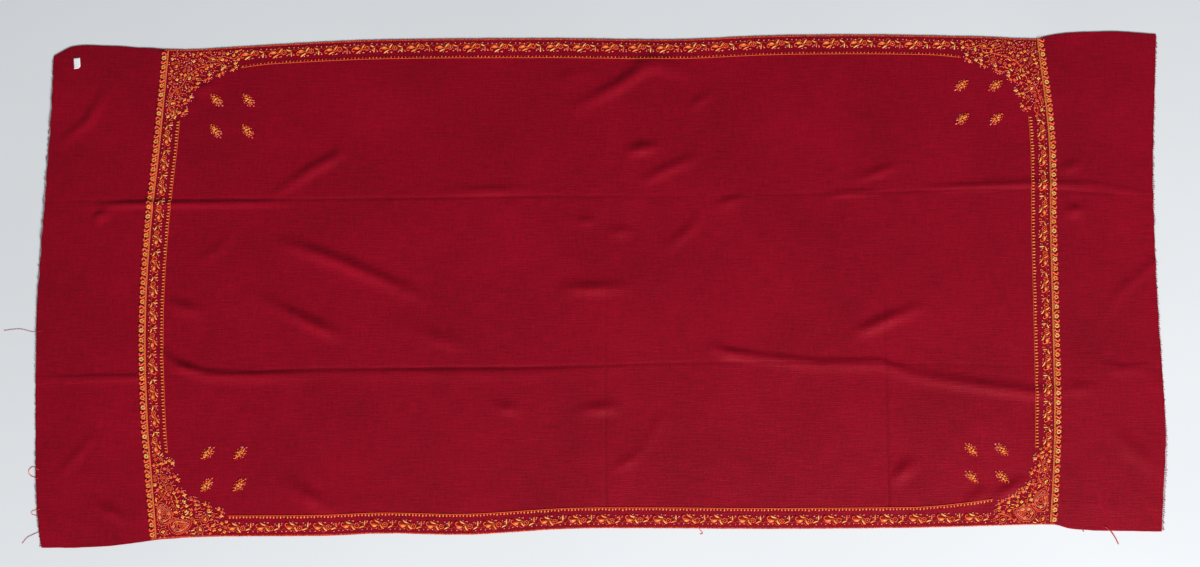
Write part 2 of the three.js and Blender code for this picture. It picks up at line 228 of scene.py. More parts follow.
def clothTop(x, y):
    return clothRise(x, y) + shawl["wall"]


def gridLines(half, pressedLines):
    lines = np.linspace(-half, half, round(2 * half / shawl["cell"]) + 1)
    fineCount = round(shawl["fineReach"] / shawl["fineCell"])
    fine = np.arange(-fineCount, fineCount + 1) * shawl["fineCell"]
    for line in pressedLines:
        isFar = abs(lines - line) > shawl["fineReach"] + shawl["fineCell"]
        lines = np.append(lines[isFar], line + fine)
    return np.sort(np.append(lines, (shawl["rim"] - half, half - shawl["rim"])))


def addObject(name, mesh):
    made = bpy.data.objects.new(name, mesh)
    bpy.context.scene.collection.objects.link(made)
    return made


def addMap(mesh, across, up):  # one place on the picture for each vertex
    layer = mesh.uv_layers.new(name="OFBake")
    corners = np.zeros(len(mesh.loops), int)
    mesh.loops.foreach_get("vertex_index", corners)
    layer.data.foreach_set("uv", np.stack([across, up], 1)[corners].astype(np.float32).ravel())


def addValues(mesh, name, values, kind="FLOAT"):
    field = {"FLOAT": "value", "FLOAT_VECTOR": "vector", "FLOAT_COLOR": "color"}[kind]
    layer = mesh.attributes.new(name, kind, "POINT")
    layer.data.foreach_set(field, np.asarray(values, np.float32).ravel())


def shellMesh(name, x, y, low, high):  # a closed sheet over a grid of points, in millimetres
    rows, columns = x.shape
    count = rows * columns
    flat = np.stack([x, y], -1).reshape(-1, 2)
    points = np.concatenate([np.column_stack([flat, z.ravel()]) for z in (high, low)]) * mm
    at = np.arange(count).reshape(rows, columns)
    top = np.stack([at[:-1, :-1], at[:-1, 1:], at[1:, 1:], at[1:, :-1]], -1).reshape(-1, 4)
    rim = np.concatenate([at[0, :-1], at[:-1, -1], at[-1, :0:-1], at[:0:-1, 0]])
    after = np.roll(rim, -1)
    walls = np.stack([rim, rim + count, after + count, after], 1)
    mesh = bpy.data.meshes.new(name)
    mesh.from_pydata(points, [], np.concatenate([top, top[:, ::-1] + count, walls]).tolist())
    mesh.shade_smooth()
    return mesh


cutEdge = {  # how far the raw ends and the long edges wander
    "reach": 9, "endDepth": 0.9, "endWaves": (31, 30, 9, 60),
    "sideDepth": 0.5, "sideWaves": (32, 30, 12, 80),
}


def buildCloth():
    columns = gridLines(halfLength, shawl["pressedAcross"])
    rows = gridLines(halfWidth, shawl["pressedAlong"])
    column, row = np.meshgrid(columns, rows)
    share = (column + halfLength) / shawl["length"]
    x = leftX(row) + (rightX(row) - leftX(row)) * share
    y = bottomY(column) + (topY(column) - bottomY(column)) * (row + halfWidth) / shawl["width"]
    rise = clothRise(x, y)  # before the edges are roughened, so that it is smooth to the rim
    atEnd = np.clip(1 - (halfLength - abs(column)) / cutEdge["reach"], 0, 1)
    atSide = np.clip(1 - (halfWidth - abs(row)) / cutEdge["reach"], 0, 1)
    x = x + cutEdge["endDepth"] * atEnd * waves(row, column, *cutEdge["endWaves"])
    y = y + cutEdge["sideDepth"] * atSide * waves(column, row, *cutEdge["sideWaves"])
    mesh = shellMesh("cloth", x, y, rise, rise + shawl["wall"])
    # the depth of the pressed grooves, kept so that the wool can paint shade along them
    addValues(mesh, "pressed", np.tile(pathRise(x, y, presses, sharpness=0.5).ravel(), 2))
    across = np.tile(((x / halfLength + 1) / 2).ravel(), 2)
    up = ((y / halfLength) / 2 + 0.25).ravel()  # the top over the bottom, at one scale
    addMap(mesh, across, np.concatenate([up + 0.5, up]))
    return addObject("cloth", mesh)


# one socket of a node tree, so that shader and geometry maths reads as plain expressions
class Wire:
    def __init__(self, tree, socket=None):
        self.tree = tree
        self.socket = socket

    def node(self, kind, settings=None, values=None, output=0):
        made = self.tree.nodes.new(kind)
        for key, setting in (settings or {}).items():
            setattr(made, key, setting)
        for key, value in (values or {}).items():
            for one in value if isinstance(value, list) else [value]:
                self.feed(made.inputs[key], one)
        return Wire(self.tree, made.outputs[output]) if len(made.outputs) else made

    def feed(self, socket, value):
        if isinstance(value, Wire):
            self.tree.links.new(value.socket, socket)
        else:
            socket.default_value = value

    def out(self, name):  # another output of the same node
        return Wire(self.tree, self.socket.node.outputs[name])

    def maths(self, operation, *others, flip=False):
        values = [self, *others]
        if flip:
            values.reverse()
        isVector = any(isinstance(v, Wire) and v.socket.type in ("VECTOR", "RGBA") for v in values)
        if isVector:
            values = [v if isinstance(v, (Wire, tuple)) else (v,) * 3 for v in values]
        kind = "ShaderNodeVectorMath" if isVector else "ShaderNodeMath"
        return self.node(kind, {"operation": operation}, dict(enumerate(values)))

    def __add__(self, other):
        return self.maths("ADD", other)

    def __sub__(self, other):
        return self.maths("SUBTRACT", other)

    def __rsub__(self, other):
        return self.maths("SUBTRACT", other, flip=True)

    def __mul__(self, other):
        return self.maths("MULTIPLY", other)

    def __pow__(self, other):
        return self.maths("POWER", other)

    __radd__ = __add__
    __rmul__ = __mul__

    def sine(self):
        return self.maths("SINE")

    def clamped(self):
        return self.node("ShaderNodeClamp", {}, {"Value": self})

    def equals(self, number):
        return self.maths("COMPARE", number, 0.5)

    def split(self):
        parts = self.node("ShaderNodeSeparateXYZ", {}, {"Vector": self})
        return parts.out("X"), parts.out("Y"), parts.out("Z")

    def join(self, x, y, z):
        return self.node("ShaderNodeCombineXYZ", {}, {"X": x, "Y": y, "Z": z})

    def noise(self, place, scale, detail=2.0, roughness=0.5):
        values = {"Vector": place, "Scale": scale, "Detail": detail, "Roughness": roughness}
        return self.node("ShaderNodeTexNoise", {}, values).out("Fac")

    def spread(self):  # a noise's usual values stretched to -1 and 1
        return self.range(0.3, 0.7, -1.0, 1.0)

    def range(self, fromLow, fromHigh, toLow=0.0, toHigh=1.0):
        return self.node("ShaderNodeMapRange", {}, {
            "Value": self, "From Min": fromLow, "From Max": fromHigh,
            "To Min": toLow, "To Max": toHigh})

    def blend(self, first, second):  # self says how much of the second colour shows
        values = {0: self, 6: first, 7: second}
        return self.node("ShaderNodeMix", {"data_type": "RGBA"}, values, output=2)

    def bump(self, strength, distance):  # self is the height, and the distance is in millimetres
        return self.node("ShaderNodeBump", {}, {
            "Height": self, "Strength": strength, "Distance": distance * mm})

    def painted(self, name, output="Fac"):  # a value kept on the mesh, in a material
        return self.node("ShaderNodeAttribute", {"attribute_name": name}).out(output)

    def named(self, name, kind="FLOAT"):  # a value kept on the mesh, in a geometry tree
        return self.node("GeometryNodeInputNamedAttribute", {"data_type": kind}, {"Name": name})

    def keep(self, name, geometry):  # self is stored on the geometry's points
        values = {"Geometry": geometry, "Name": name, "Value": self}
        settings = {"data_type": "FLOAT", "domain": "POINT"}
        return self.node("GeometryNodeStoreNamedAttribute", settings, values)

    def tube(self, curve, sides, radius, scale=1.0):  # a closed tube along a curve
        section = self.node("GeometryNodeCurvePrimitiveCircle", {"mode": "RADIUS"}, {
            "Resolution": sides, "Radius": radius})
        return self.node("GeometryNodeCurveToMesh", {}, {
            "Curve": curve, "Profile Curve": section, "Scale": scale, "Fill Caps": True})


def linear(red, green, blue):  # a colour as picked on a screen, 0 to 255, made linear
    return tuple(((c / 255 + 0.055) / 1.055) ** 2.4 for c in (red, green, blue)) + (1.0,)


def startMaterial(name):
    material = bpy.data.materials.new(name)
    material.use_nodes = True
    material.node_tree.nodes.clear()
    wire = Wire(material.node_tree)
    return material, wire, wire.node("ShaderNodeTexCoord").out("Object")


def endMaterial(wire, values):
    shader = wire.node("ShaderNodeBsdfPrincipled", {}, values)
    wire.node("ShaderNodeOutputMaterial", {}, {"Surface": shader})


woolFinish = {
    "red": (0.246, 0.0003, 0.0104, 1), "shade": (0.152, 0.0002, 0.0060, 1),
    "light": (0.344, 0.0008, 0.0154, 1),
    "threadPitch": 1.35,  # millimetres from one thread of the weave to the next
    "slubs": (26, 430), "warp": (30, 430),  # noise along and across the thick and thin threads
    "patches": 5.5, "clumps": 330.0, "fuzz": 1100.0,  # and in all directions, per metre
    # painted shade: how far the wool's colour is darkened towards the shade colour along the pressed
    # grooves
    "bump": (0.45, 0.4), "wearAndCreaseShade": 0.45, "roughness": (0.54, 0.48),  # strength and depth of the weave
    "shader": {"Specular IOR Level": 0.09, "Sheen Weight": 0.03, "Sheen Roughness": 0.5,
               "Sheen Tint": (1.0, 0.26, 0.33, 1.0)},
}


def woolMaterial():
    material, wire, place = startMaterial("wool")
    x, y, z = place.split()
    slow, fast = woolFinish["slubs"]
    slubs = wire.noise(wire.join(x * slow, y * fast, z * slow), 1.0, 3.0).spread()
    slow, fast = woolFinish["warp"]
    warp = wire.noise(wire.join(x * fast, y * slow, z * slow), 1.0, 2.0).spread()
    patches = wire.noise(place, woolFinish["patches"], 3.0).spread()
    clumps = wire.noise(place, woolFinish["clumps"], 2.0, 0.6).spread()
    fuzz = wire.noise(place, woolFinish["fuzz"], 2.0, 0.7).spread()
    tone = slubs * 0.34 + warp * 0.24 + patches * 0.28 + clumps * 0.36 + fuzz * 0.16
    lighter = tone.range(0.0, 1.0).blend(woolFinish["red"], woolFinish["light"])
    colour = tone.range(0.0, -1.0).blend(lighter, woolFinish["shade"])
    # painted shade along the pressed grooves: the colour darkens towards the shade colour where the
    # grooves are deepest
    wearAndCreaseShade = (wire.painted("pressed") * woolFinish["wearAndCreaseShade"]).clamped()
    turn = 2000 * math.pi / woolFinish["threadPitch"]
    weave = (x * turn).sine() * (y * turn).sine() * 0.3 + fuzz * 0.4 + slubs * 0.5 + clumps * 0.3
    endMaterial(wire, {
        "Base Color": wearAndCreaseShade.blend(colour, woolFinish["shade"]),
        "Roughness": tone.range(-1.0, 1.0, *woolFinish["roughness"]),
        "Normal": weave.bump(*woolFinish["bump"]),
        **woolFinish["shader"],
    })
    return material


# embroidery threads, and the wool of the loose yarns
threadDyes = {
    "gold": linear(255, 150, 56), "amber": linear(240, 118, 38), "orange": linear(248, 88, 30),
    "rust": linear(206, 64, 24), "coral": linear(254, 94, 60), "cream": linear(255, 186, 96),
    "pink": linear(252, 150, 134), "apricot": linear(255, 134, 56), "yarn": linear(186, 24, 46),
}
threadFinish = {
    "strandPitch": 0.55, "fuzz": 1400.0, "bump": (0.55, 0.25), "roughness": (0.50, 0.66),
    "shader": {"Specular IOR Level": 0.3, "Sheen Weight": 0.22, "Sheen Roughness": 0.4,
               "Sheen Tint": (1.0, 0.75, 0.50, 1.0)},
}


def threadMaterial():
    material, wire, place = startMaterial("thread")
    ply = (wire.painted("strand") * (2000 * math.pi / threadFinish["strandPitch"])).sine()
    fuzz = wire.noise(place, threadFinish["fuzz"], 2.0, 0.6)
    tone = ply * 0.10 + fuzz.spread() * 0.11 + 0.98
    endMaterial(wire, {
        "Base Color": wire.painted("tint", "Color") * tone,
        "Roughness": fuzz.range(0.2, 0.8, *threadFinish["roughness"]),
        "Normal": (ply * 0.5 + fuzz).bump(*threadFinish["bump"]),
        **threadFinish["shader"],
    })
    return material


tapeFinish = {
    "white": linear(254, 254, 252), "wearAndCreaseShade": linear(244, 243, 238), "weave": 7000, "wear": 260.0,
    "bump": (0.4, 0.1), "roughness": (0.68, 0.8), "shader": {"Specular IOR Level": 0.3},
}


def tapeMaterial():
    material, wire, place = startMaterial("labelTape")
    x, y, _ = place.split()
    weave = (x * tapeFinish["weave"]).sine() * (y * tapeFinish["weave"]).sine()
    wearAndCreaseShade = wire.noise(place, tapeFinish["wear"], 3.0)
    endMaterial(wire, {
        "Base Color": wearAndCreaseShade.range(0.35, 0.7).blend(tapeFinish["white"], tapeFinish["wearAndCreaseShade"]),
        "Roughness": wearAndCreaseShade.range(0.3, 0.7, *tapeFinish["roughness"]),
        "Normal": (weave + wearAndCreaseShade).bump(*tapeFinish["bump"]),
        **tapeFinish["shader"],
    })
    return material


floorFinish = {
    "pale": linear(226, 228, 230), "dull": linear(221, 223, 225), "mottle": 1.6,
    "shader": {"Roughness": 0.9, "Specular IOR Level": 0.1},
}


def floorMaterial():
    material, wire, place = startMaterial("floor")
    mottle = wire.noise(place, floorFinish["mottle"], 2.0).range(0.3, 0.7)
    colour = mottle.blend(floorFinish["dull"], floorFinish["pale"])
    endMaterial(wire, {"Base Color": colour, **floorFinish["shader"]})
    return material


wool = woolMaterial()
thread = threadMaterial()
tape = tapeMaterial()
print("materials made")


def newTree(name, inputs):
    tree = bpy.data.node_groups.new(name, "GeometryNodeTree")
    tree.interface.new_socket("Geometry", in_out="OUTPUT", socket_type="NodeSocketGeometry")
    tree.interface.new_socket("Geometry", in_out="INPUT", socket_type="NodeSocketGeometry")
    for label, kind in inputs.items():
        tree.interface.new_socket(label, in_out="INPUT", socket_type="NodeSocket" + kind)
    return tree, Wire(tree).node("NodeGroupInput")


def endTree(geometry, material):
    made = geometry.node("GeometryNodeRealizeInstances", {}, {"Geometry": geometry})
    made = geometry.node("GeometryNodeSetShadeSmooth", {}, {"Geometry": made})
    made = geometry.node("GeometryNodeSetMaterial", {}, {"Geometry": made, "Material": material})
    geometry.node("NodeGroupOutput", {}, {"Geometry": made})


def runTree(name, mesh, tree, values):  # a tree's result over a mesh, kept as a plain mesh
    carrier = addObject(name, mesh)
    modifier = carrier.modifiers.new(name, "NODES")
    modifier.node_group = tree
    for item in tree.interface.items_tree:
        if item.in_out == "INPUT" and item.name in values:
            modifier[item.identifier] = values[item.name]
    graph = bpy.context.evaluated_depsgraph_get()
    grown = bpy.data.meshes.new_from_object(carrier.evaluated_get(graph))
    carrier.modifiers.clear()
    carrier.data = grown
    grown.name = name
    points = np.zeros(len(grown.vertices) * 3)
    grown.vertices.foreach_get("co", points)
    points = points.reshape(-1, 3)
    span = np.ptp(points, axis=0)
    shares = (points - points.min(0)) / np.where(span > 0, span, 1)
    addMap(grown, shares[:, 0], shares[:, 1])
    return carrier


# every point drops onto the cloth, or to a set height where there is none
def onCloth(geometry, cloth, clear, beyond):
    above = 0.1  # in metres, higher than any fold
    x, y, z = geometry.node("GeometryNodeInputPosition").split()
    form = geometry.node("GeometryNodeObjectInfo", {}, {"Object": cloth}).out("Geometry")
    cast = geometry.node("GeometryNodeRaycast", {"data_type": "FLOAT"}, {
        "Target Geometry": form, "Source Position": geometry.join(x, y, above),
        "Ray Direction": (0.0, 0.0, -1.0), "Ray Length": 2 * above})
    _, _, hitZ = cast.out("Hit Position").split()
    ground = geometry.node("GeometryNodeSwitch", {"input_type": "FLOAT"}, {
        "Switch": cast.out("Is Hit"), "False": beyond, "True": hitZ})
    place = geometry.join(x, y, ground + z + clear)
    return geometry.node("GeometryNodeSetPosition", {}, {"Geometry": geometry, "Position": place})


def embroideryTree():
    # loose points carry leaves (kind 0) and knots (kind 1), and runs of points are cords (kind 2)
    tree, group = newTree("embroider", {
        "Cloth": "Object", "Leaf": "Object", "Knot": "Object", "Thread": "Material",
        "Cord step": "Float", "Clear of cloth": "Float", "Height beyond cloth": "Float"})
    plan = group.out("Geometry")
    kind = group.named("kind")
    turn = group.named("turn")
    sizes = group.named("size", "FLOAT_VECTOR")

    def sewn(number, shape):
        form = group.node("GeometryNodeObjectInfo", {}, {"Object": group.out(shape)}).out("Geometry")
        spread = group.node("GeometryNodeInstanceOnPoints", {}, {
            "Points": plan, "Selection": kind.equals(number), "Instance": form,
            "Rotation": group.join(0.0, 0.0, turn), "Scale": sizes})
        return group.node("GeometryNodeRealizeInstances", {}, {"Geometry": spread})

    along = group.named("along")
    length, width, _ = sizes.split()
    sideways = group.join(0.0, group.named("bend") * (1 - along * along), 0.0)
    shift = group.node("ShaderNodeVectorRotate", {"rotation_type": "Z_AXIS"}, {
        "Vector": sideways, "Angle": turn})
    leaves = group.node("GeometryNodeSetPosition", {}, {"Geometry": sewn(0, "Leaf"), "Offset": shift})
    strand = along * length * 0.5 + group.named("across") * width * 0.4
    leaves = strand.keep("strand", leaves)

    cords = group.node("GeometryNodeSeparateGeometry", {"domain": "POINT"}, {
        "Geometry": plan, "Selection": kind.equals(2)})
    cords = group.node("GeometryNodeMeshToCurve", {}, {"Mesh": cords})
    cords = group.node("GeometryNodeResampleCurve", {"mode": "LENGTH"}, {
        "Curve": cords, "Length": group.out("Cord step")})
    spline = group.node("GeometryNodeSplineParameter")
    cords = spline.out("Length").keep("strand", cords)
    link = spline.out("Index").maths("MODULO", 2)  # thick and thin by turns, as chain stitch is
    cords = group.tube(cords, 4, 1.0, group.named("thick") * (0.84 + link * 0.3))

    whole = group.node("GeometryNodeJoinGeometry", {}, {"Geometry": [leaves, sewn(1, "Knot"), cords]})
    levels = [group.out(name) for name in ("Cloth", "Clear of cloth", "Height beyond cloth")]
    endTree(onCloth(whole, *levels), group.out("Thread"))
    return tree


stitchForm = {"rings": 4, "shoulder": 0.55, "shoulderHeight": 0.82, "knotSides": 6}


def leafForm():  # a low dome on a pointed oval, 1 long, 1 wide and 1 high
    rings = stitchForm["rings"]
    shoulder, height = stitchForm["shoulder"], stitchForm["shoulderHeight"]
    profile = ((-1, 0), (-shoulder, height), (shoulder, height), (1, 0))
    points, along, across = [(-0.5, 0, 0)], [-1.0], [0.0]
    for i in range(rings):
        t = -1 + 2 * (i + 1) / (rings + 1)
        wide = (1 - t * t) ** 0.62
        for side, high in profile:
            points.append((t / 2, side * wide / 2, high * wide**0.5))
            along.append(t)
            across.append(side * wide)
    points.append((0.5, 0, 0))
    along.append(1.0)
    across.append(0.0)
    tip = len(points) - 1
    faces = []
    for k in range(4):
        after = (k + 1) % 4
        faces.append((0, 1 + after, 1 + k))
        for i in range(rings - 1):
            here = 1 + 4 * i
            faces.append((here + k, here + after, here + 4 + after, here + 4 + k))
        faces.append((tip, tip - 4 + k, tip - 4 + after))
    return stitchPrototype("leafStitch", points, faces, along, across)


def knotForm():  # a small round dome
    sides = stitchForm["knotSides"]
    points, across = [], []
    for radius, high in ((0.5, 0.0), (0.36, 0.75)):
        for k in range(sides):
            angle = 2 * math.pi * k / sides
            points.append((radius * math.cos(angle), radius * math.sin(angle), high))
            across.append(2 * radius * math.sin(angle))
    points.append((0, 0, 1))
    across.append(0.0)
    faces = [tuple(reversed(range(sides)))]
    for k in range(sides):
        after = (k + 1) % sides
        faces.append((k, after, after + sides, k + sides))
        faces.append((k + sides, after + sides, 2 * sides))
    return stitchPrototype("knotStitch", points, faces, [0.0] * len(points), across)


def stitchPrototype(name, points, faces, along, across):
    mesh = bpy.data.meshes.new(name)
    mesh.from_pydata(points, [], faces)
    addValues(mesh, "along", along)
    addValues(mesh, "across", across)
    form = addObject(name, mesh)
    form.hide_render = True
    return form


class Plan:  # where the stitches and cords of one embroidered piece go
    def __init__(self, seed):
        self.rand = random.Random(seed)
        self.spots, self.links = [], []
        self.facts = {"kind": [], "turn": [], "size": [], "bend": [], "tint": [], "thick": []}

    def spot(self, place, facts):
        self.spots.append(tuple(c * mm for c in place))
        for key, value in facts.items():
            self.facts[key].append(value)

    def dyed(self, dye):  # no two stitches take the dye quite alike
        shade = self.rand.uniform(0.87, 1.09)
        return (*(min(c * shade, 1.0) for c in threadDyes[dye][:3]), 1.0)

    def leaf(self, place, u, v, angle, length, width, dye, bend=0.0, layer=0.0, high=1.2):
        # from its base at u, v towards angle, in the frame of place
        u += self.rand.uniform(-0.25, 0.25)
        v += self.rand.uniform(-0.25, 0.25)
        angle += self.rand.uniform(-6, 6)
        length *= self.rand.uniform(0.92, 1.08)
        reach = math.radians(angle)
        middle = u + length / 2 * math.cos(reach), v + length / 2 * math.sin(reach)
        x, y, turn, scale, hand = aim(place, *middle, angle)
        self.spot((x, y, layer), {
            "kind": 0, "turn": turn, "size": (length * scale * mm, width * scale * mm, high * mm),
            "bend": bend * hand * scale * mm, "tint": self.dyed(dye), "thick": 0})

    def knot(self, place, u, v, wide, dye, layer=0.0):
        x, y, turn, scale, _ = aim(place, u, v, self.rand.uniform(0, 360))
        wide *= scale * self.rand.uniform(0.85, 1.15)
        self.spot((x, y, layer), {
            "kind": 1, "turn": turn, "size": (wide * mm, wide * 0.85 * mm, 1.1 * mm),
            "bend": 0, "tint": self.dyed(dye), "thick": 0})

    def cord(self, place, points, thick, dye, layer=0.0):
        tint = self.dyed(dye)
        first = len(self.spots)
        for u, v in points:
            x, y = place(u, v)
            self.spot((x, y, layer + thick * 0.35), {
                "kind": 2, "turn": 0, "size": (0, 0, 0), "bend": 0, "tint": tint,
                "thick": thick * 0.5 * mm})
        self.links += [(i, i + 1) for i in range(first, len(self.spots) - 1)]

    def mesh(self, name):
        mesh = bpy.data.meshes.new(name)
        mesh.from_pydata(self.spots, self.links, [])
        kinds = {"size": "FLOAT_VECTOR", "tint": "FLOAT_COLOR"}
        for key, values in self.facts.items():
            addValues(mesh, key, values, kinds.get(key, "FLOAT"))
        return mesh


def aim(place, u, v, angle):  # the point, direction, scale and handedness that a local frame gives
    probe = 0.5
    x, y = place(u, v)
    c, s = probe * math.cos(math.radians(angle)), probe * math.sin(math.radians(angle))
    ahead = place(u + c, v + s)
    left = place(u - s, v + c)
    runX, runY = ahead[0] - x, ahead[1] - y
    hand = 1 if runX * (left[1] - y) - runY * (left[0] - x) > 0 else -1
    return x, y, math.atan2(runY, runX), math.hypot(runX, runY) / probe, hand


def within(place, u, v, angle=0.0, scale=1.0, flip=1):  # a smaller frame, set and turned in another
    c, s = scale * math.cos(math.radians(angle)), scale * math.sin(math.radians(angle))
    return lambda a, b: place(u + a * c - flip * b * s, v + a * s + flip * b * c)


def smooth(points, parts=5):  # a rounded run through a few points
    ends = [points[0], *points, points[-1]]

    def between(p, q, r, s, t):
        bend = (2 * p - 5 * q + 4 * r - s) * t * t
        return 0.5 * (2 * q + (r - p) * t + bend + (3 * q - p - 3 * r + s) * t**3)

    run = []
    for stretch in zip(ends, ends[1:], ends[2:], ends[3:]):
        for i in range(parts):
            run.append(tuple(between(*one, i / parts) for one in zip(*stretch)))
    return [*run, points[-1]]


def coil(u, v, fromRadius, toRadius, turns, start=0.0):
    count = max(int(13 * abs(turns)), 4)
    run = []
    for i in range(count + 1):
        radius = fromRadius + (toRadius - fromRadius) * i / count
        angle = math.radians(start) + 2 * math.pi * turns * i / count
        run.append((u + radius * math.cos(angle), v + radius * math.sin(angle)))
    return run


def petalRing(plan, place, u, v, inner, outer, count, wide, dye, start):
    for k in range(count):
        angle = start + 360 * k / count
        reach = math.radians(angle)
        base = u + inner * math.cos(reach), v + inner * math.sin(reach)
        plan.leaf(place, *base, angle, outer - inner, wide, dye)


def roundFlower(plan, place, u, v, radius, dye, heart):
    start = plan.rand.uniform(0, 360)
    petalRing(plan, place, u, v, radius * 0.45, radius * 1.02, 8, radius * 0.56, dye, start)
    plan.knot(place, u, v, radius * 0.46, heart, layer=0.2)


def blossom(plan, place, u, v, size, dye, heart="orange"):  # four broad petals
    petalRing(plan, place, u, v, 0, size * 0.54, 4, size * 0.5, dye, plan.rand.uniform(0, 90))
    plan.knot(place, u, v, size * 0.34, heart, layer=0.5)


def tulip(plan, place, u, v, angle, size, dye):
    flower = within(place, u, v, angle, size / 9)
    for side in (-1, 1):
        plan.leaf(flower, -2.6, side * 0.6, side * 48, 5.4, 3.7, dye, bend=side * 0.5)
    plan.leaf(flower, -2.4, 0, 0, 6.4, 3.9, dye, layer=0.35)
    plan.leaf(flower, -5.2, 0, 0, 3.4, 2.2, "orange", layer=0.2)


def spray(plan, place, u, v, angle, count, dye):  # thin leaves side by side
    leaves = within(place, u, v, angle)
    for k in range(count):
        off = (k - (count - 1) / 2) * 3.6
        plan.leaf(leaves, -4.6 + abs(off) * 0.4, off, off * 5, 10 - abs(off), 2.3, dye, bend=off * 0.2)


def comma(plan, place, u, v, angle, size):  # a plump leaf with a hooked tail and a pale heart
    leaf = within(place, u, v, angle, size / 12, flip=-1)
    plan.leaf(leaf, -6.5, 0, 0, 12.5, 7.2, "orange", bend=-1.2, high=0.8)
    plan.leaf(leaf, -4.6, -0.6, 2, 8.0, 3.8, "gold", bend=-1.0, layer=0.3, high=0.7)
    plan.leaf(leaf, -2.8, -0.7, 2, 4.8, 2.2, "cream", bend=-0.6, layer=0.6, high=0.6)
    tail = smooth([(3.6, -0.6), (6.0, 0.9), (7.0, 3.2), (6.2, 5.4), (4.2, 6.1), (2.9, 5.0)])
    plan.cord(leaf, tail, 1.9, "orange")
    plan.leaf(leaf, -6.2, 0, 176, 4.2, 2.2, "rust")


def longLeaf(plan, place, u, v, angle, length, wide, dye, bend):
    plan.leaf(place, u, v, angle, length, wide, dye, bend=bend)
    plan.leaf(place, u, v, angle, length * 0.42, wide * 0.75, "amber",
              bend=bend * 0.4, layer=0.3, high=0.6)


def dots(plan, place, spots, wide=2.7, dye="pink"):
    for u, v in spots:
        plan.knot(place, u + plan.rand.uniform(-0.6, 0.6), v + plan.rand.uniform(-0.6, 0.6), wide, dye)


# the running vine: one repeat as drawn, and its depth and pitch in each kind of border
vine = {"repeat": 51, "side": (14.6, 46), "long": (6.0, 51)}


def vineCell(plan, place):
    rand = plan.rand
    cell = within(place, rand.uniform(-0.8, 0.8), rand.uniform(-0.5, 0.5))
    pale = rand.choice(("cream", "cream", "gold"))
    warm = rand.choice(("gold", "cream", "coral"))
    plan.cord(cell, smooth([(-2, 8), (4, 4), (12, 3.4), (18, 9), (21.5, 12.5)]), 0.8, "rust")
    plan.cord(cell, smooth([(31, 10), (35, 13.5), (39, 10), (41, 7), (46, 5), (50, 8)]), 0.8, "rust")
    comma(plan, cell, 7.5, 9.6, 176 + rand.uniform(-10, 10), 12.6)
    longLeaf(plan, cell, 18.2, 13.4, 152, 12.5, 3.2, pale, 1.0)
    longLeaf(plan, cell, 17.6, 11.4, -54, 12.0, 3.2, pale, -1.1)
    plan.cord(cell, smooth([(14, 9.6), (17, 12.4), (20.5, 12.6), (23, 11)]), 1.0, "orange")
    level = 8.8 + rand.uniform(-1, 1)
    roundFlower(plan, cell, 27.2, level, 5.3, "orange", rand.choice(("gold", "rust", "pink")))
    plan.cord(cell, smooth([(23.4, 4.0), (20.6, 1.0), (17, 1.2), (15.8, 4.2)]), 0.8, "orange")
    longLeaf(plan, cell, 41.6, 8.2, 92, 10.8, 3.0, warm, 0.6)
    longLeaf(plan, cell, 41.4, 7.6, 204, 10.4, 3.0, rand.choice(("cream", "gold")), -0.9)
    plan.leaf(cell, 43.2, 12.5, 24, 4.6, 1.8, "orange", bend=0.4)
    plan.leaf(cell, 21.6, 18.6, -160, 3.8, 1.5, "coral")
    plan.leaf(cell, 34.6, 5.6, 20, 4.2, 1.6, "coral")
    dots(plan, cell, [
        (3.2, 2.2), (11.4, 3.4), (21.8, 17.6), (33.8, 16.4), (37.4, 13.8), (46.2, 16.4)])
    dots(plan, cell, [(46.2, 2.4), (14.6, 18.6), (36.8, 1.4)], 2.3)


def ladder(plan, place, fromU, toU, sizes):  # a row of short leaves that stand on a thin line
    count = round(abs(toU - fromU) / sizes["pitch"])
    bends = sizes.get("bends", ())

    def depth(u):  # at some ends the line leans in towards the corner
        v = sizes["depth"]
        for end, reach, rise in bends:
            v += rise * max(0.0, 1 - abs(u - (fromU, toU)[end]) / reach) ** 1.5
        return v

    for k in range(count):
        u = fromU + (toU - fromU) * (k + 0.5) / count
        length = sizes["tooth"] * plan.rand.uniform(0.8, 1.1)
        plan.leaf(place, u, depth(u) - 0.3, -90, length, sizes["wide"], plan.rand.choice(sizes["dyes"]))
    line = [fromU + (toU - fromU) * k / (4 * count) for k in range(4 * count + 1)]
    line = [(u, depth(u)) for u in line]
    plan.cord(place, line, sizes["line"], "orange")


edging = {
    "pitch": 17.1, "stemThick": 1.25, "turned": 0.35, "dotDepth": 6.8,
    "rosetteAt": 0.28, "curlAt": 0.77, "dotsAt": (0.04, 0.54),  # shares of one repeat
    "stems": {-1: ((9.2, "amber"), (10.8, "apricot")), 1: ((9.3, "apricot"), (11.0, "gold"))},
    "petals": {-1: ("gold", "cream", "gold", "apricot"), 1: ("cream", "gold", "cream")},
}


def buildEdging(plan, place, fromU, toU, side):
    rand = plan.rand
    count = round((toU - fromU) / edging["pitch"])
    step = (toU - fromU) / count
    for k in range(count):
        flowerU, curlU = (fromU + (k + edging[at]) * step for at in ("rosetteAt", "curlAt"))
        rosette(plan, within(place, flowerU, 0), rand.choice(edging["petals"][side]))
        isTurned = rand.random() < edging["turned"]
        curl(plan, within(place, curlU, 0, 180 * isTurned, flip=1 - 2 * isTurned))
        for share in edging["dotsAt"]:
            v = edging["dotDepth"] + rand.uniform(-0.6, 0.6)
            plan.knot(place, fromU + (k + share) * step, v, 2.2, "pink")
    for v, dye in edging["stems"][side]:
        line = [(fromU + (toU - fromU) * i / (6 * count), v) for i in range(6 * count + 1)]
        plan.cord(place, line, edging["stemThick"], dye)


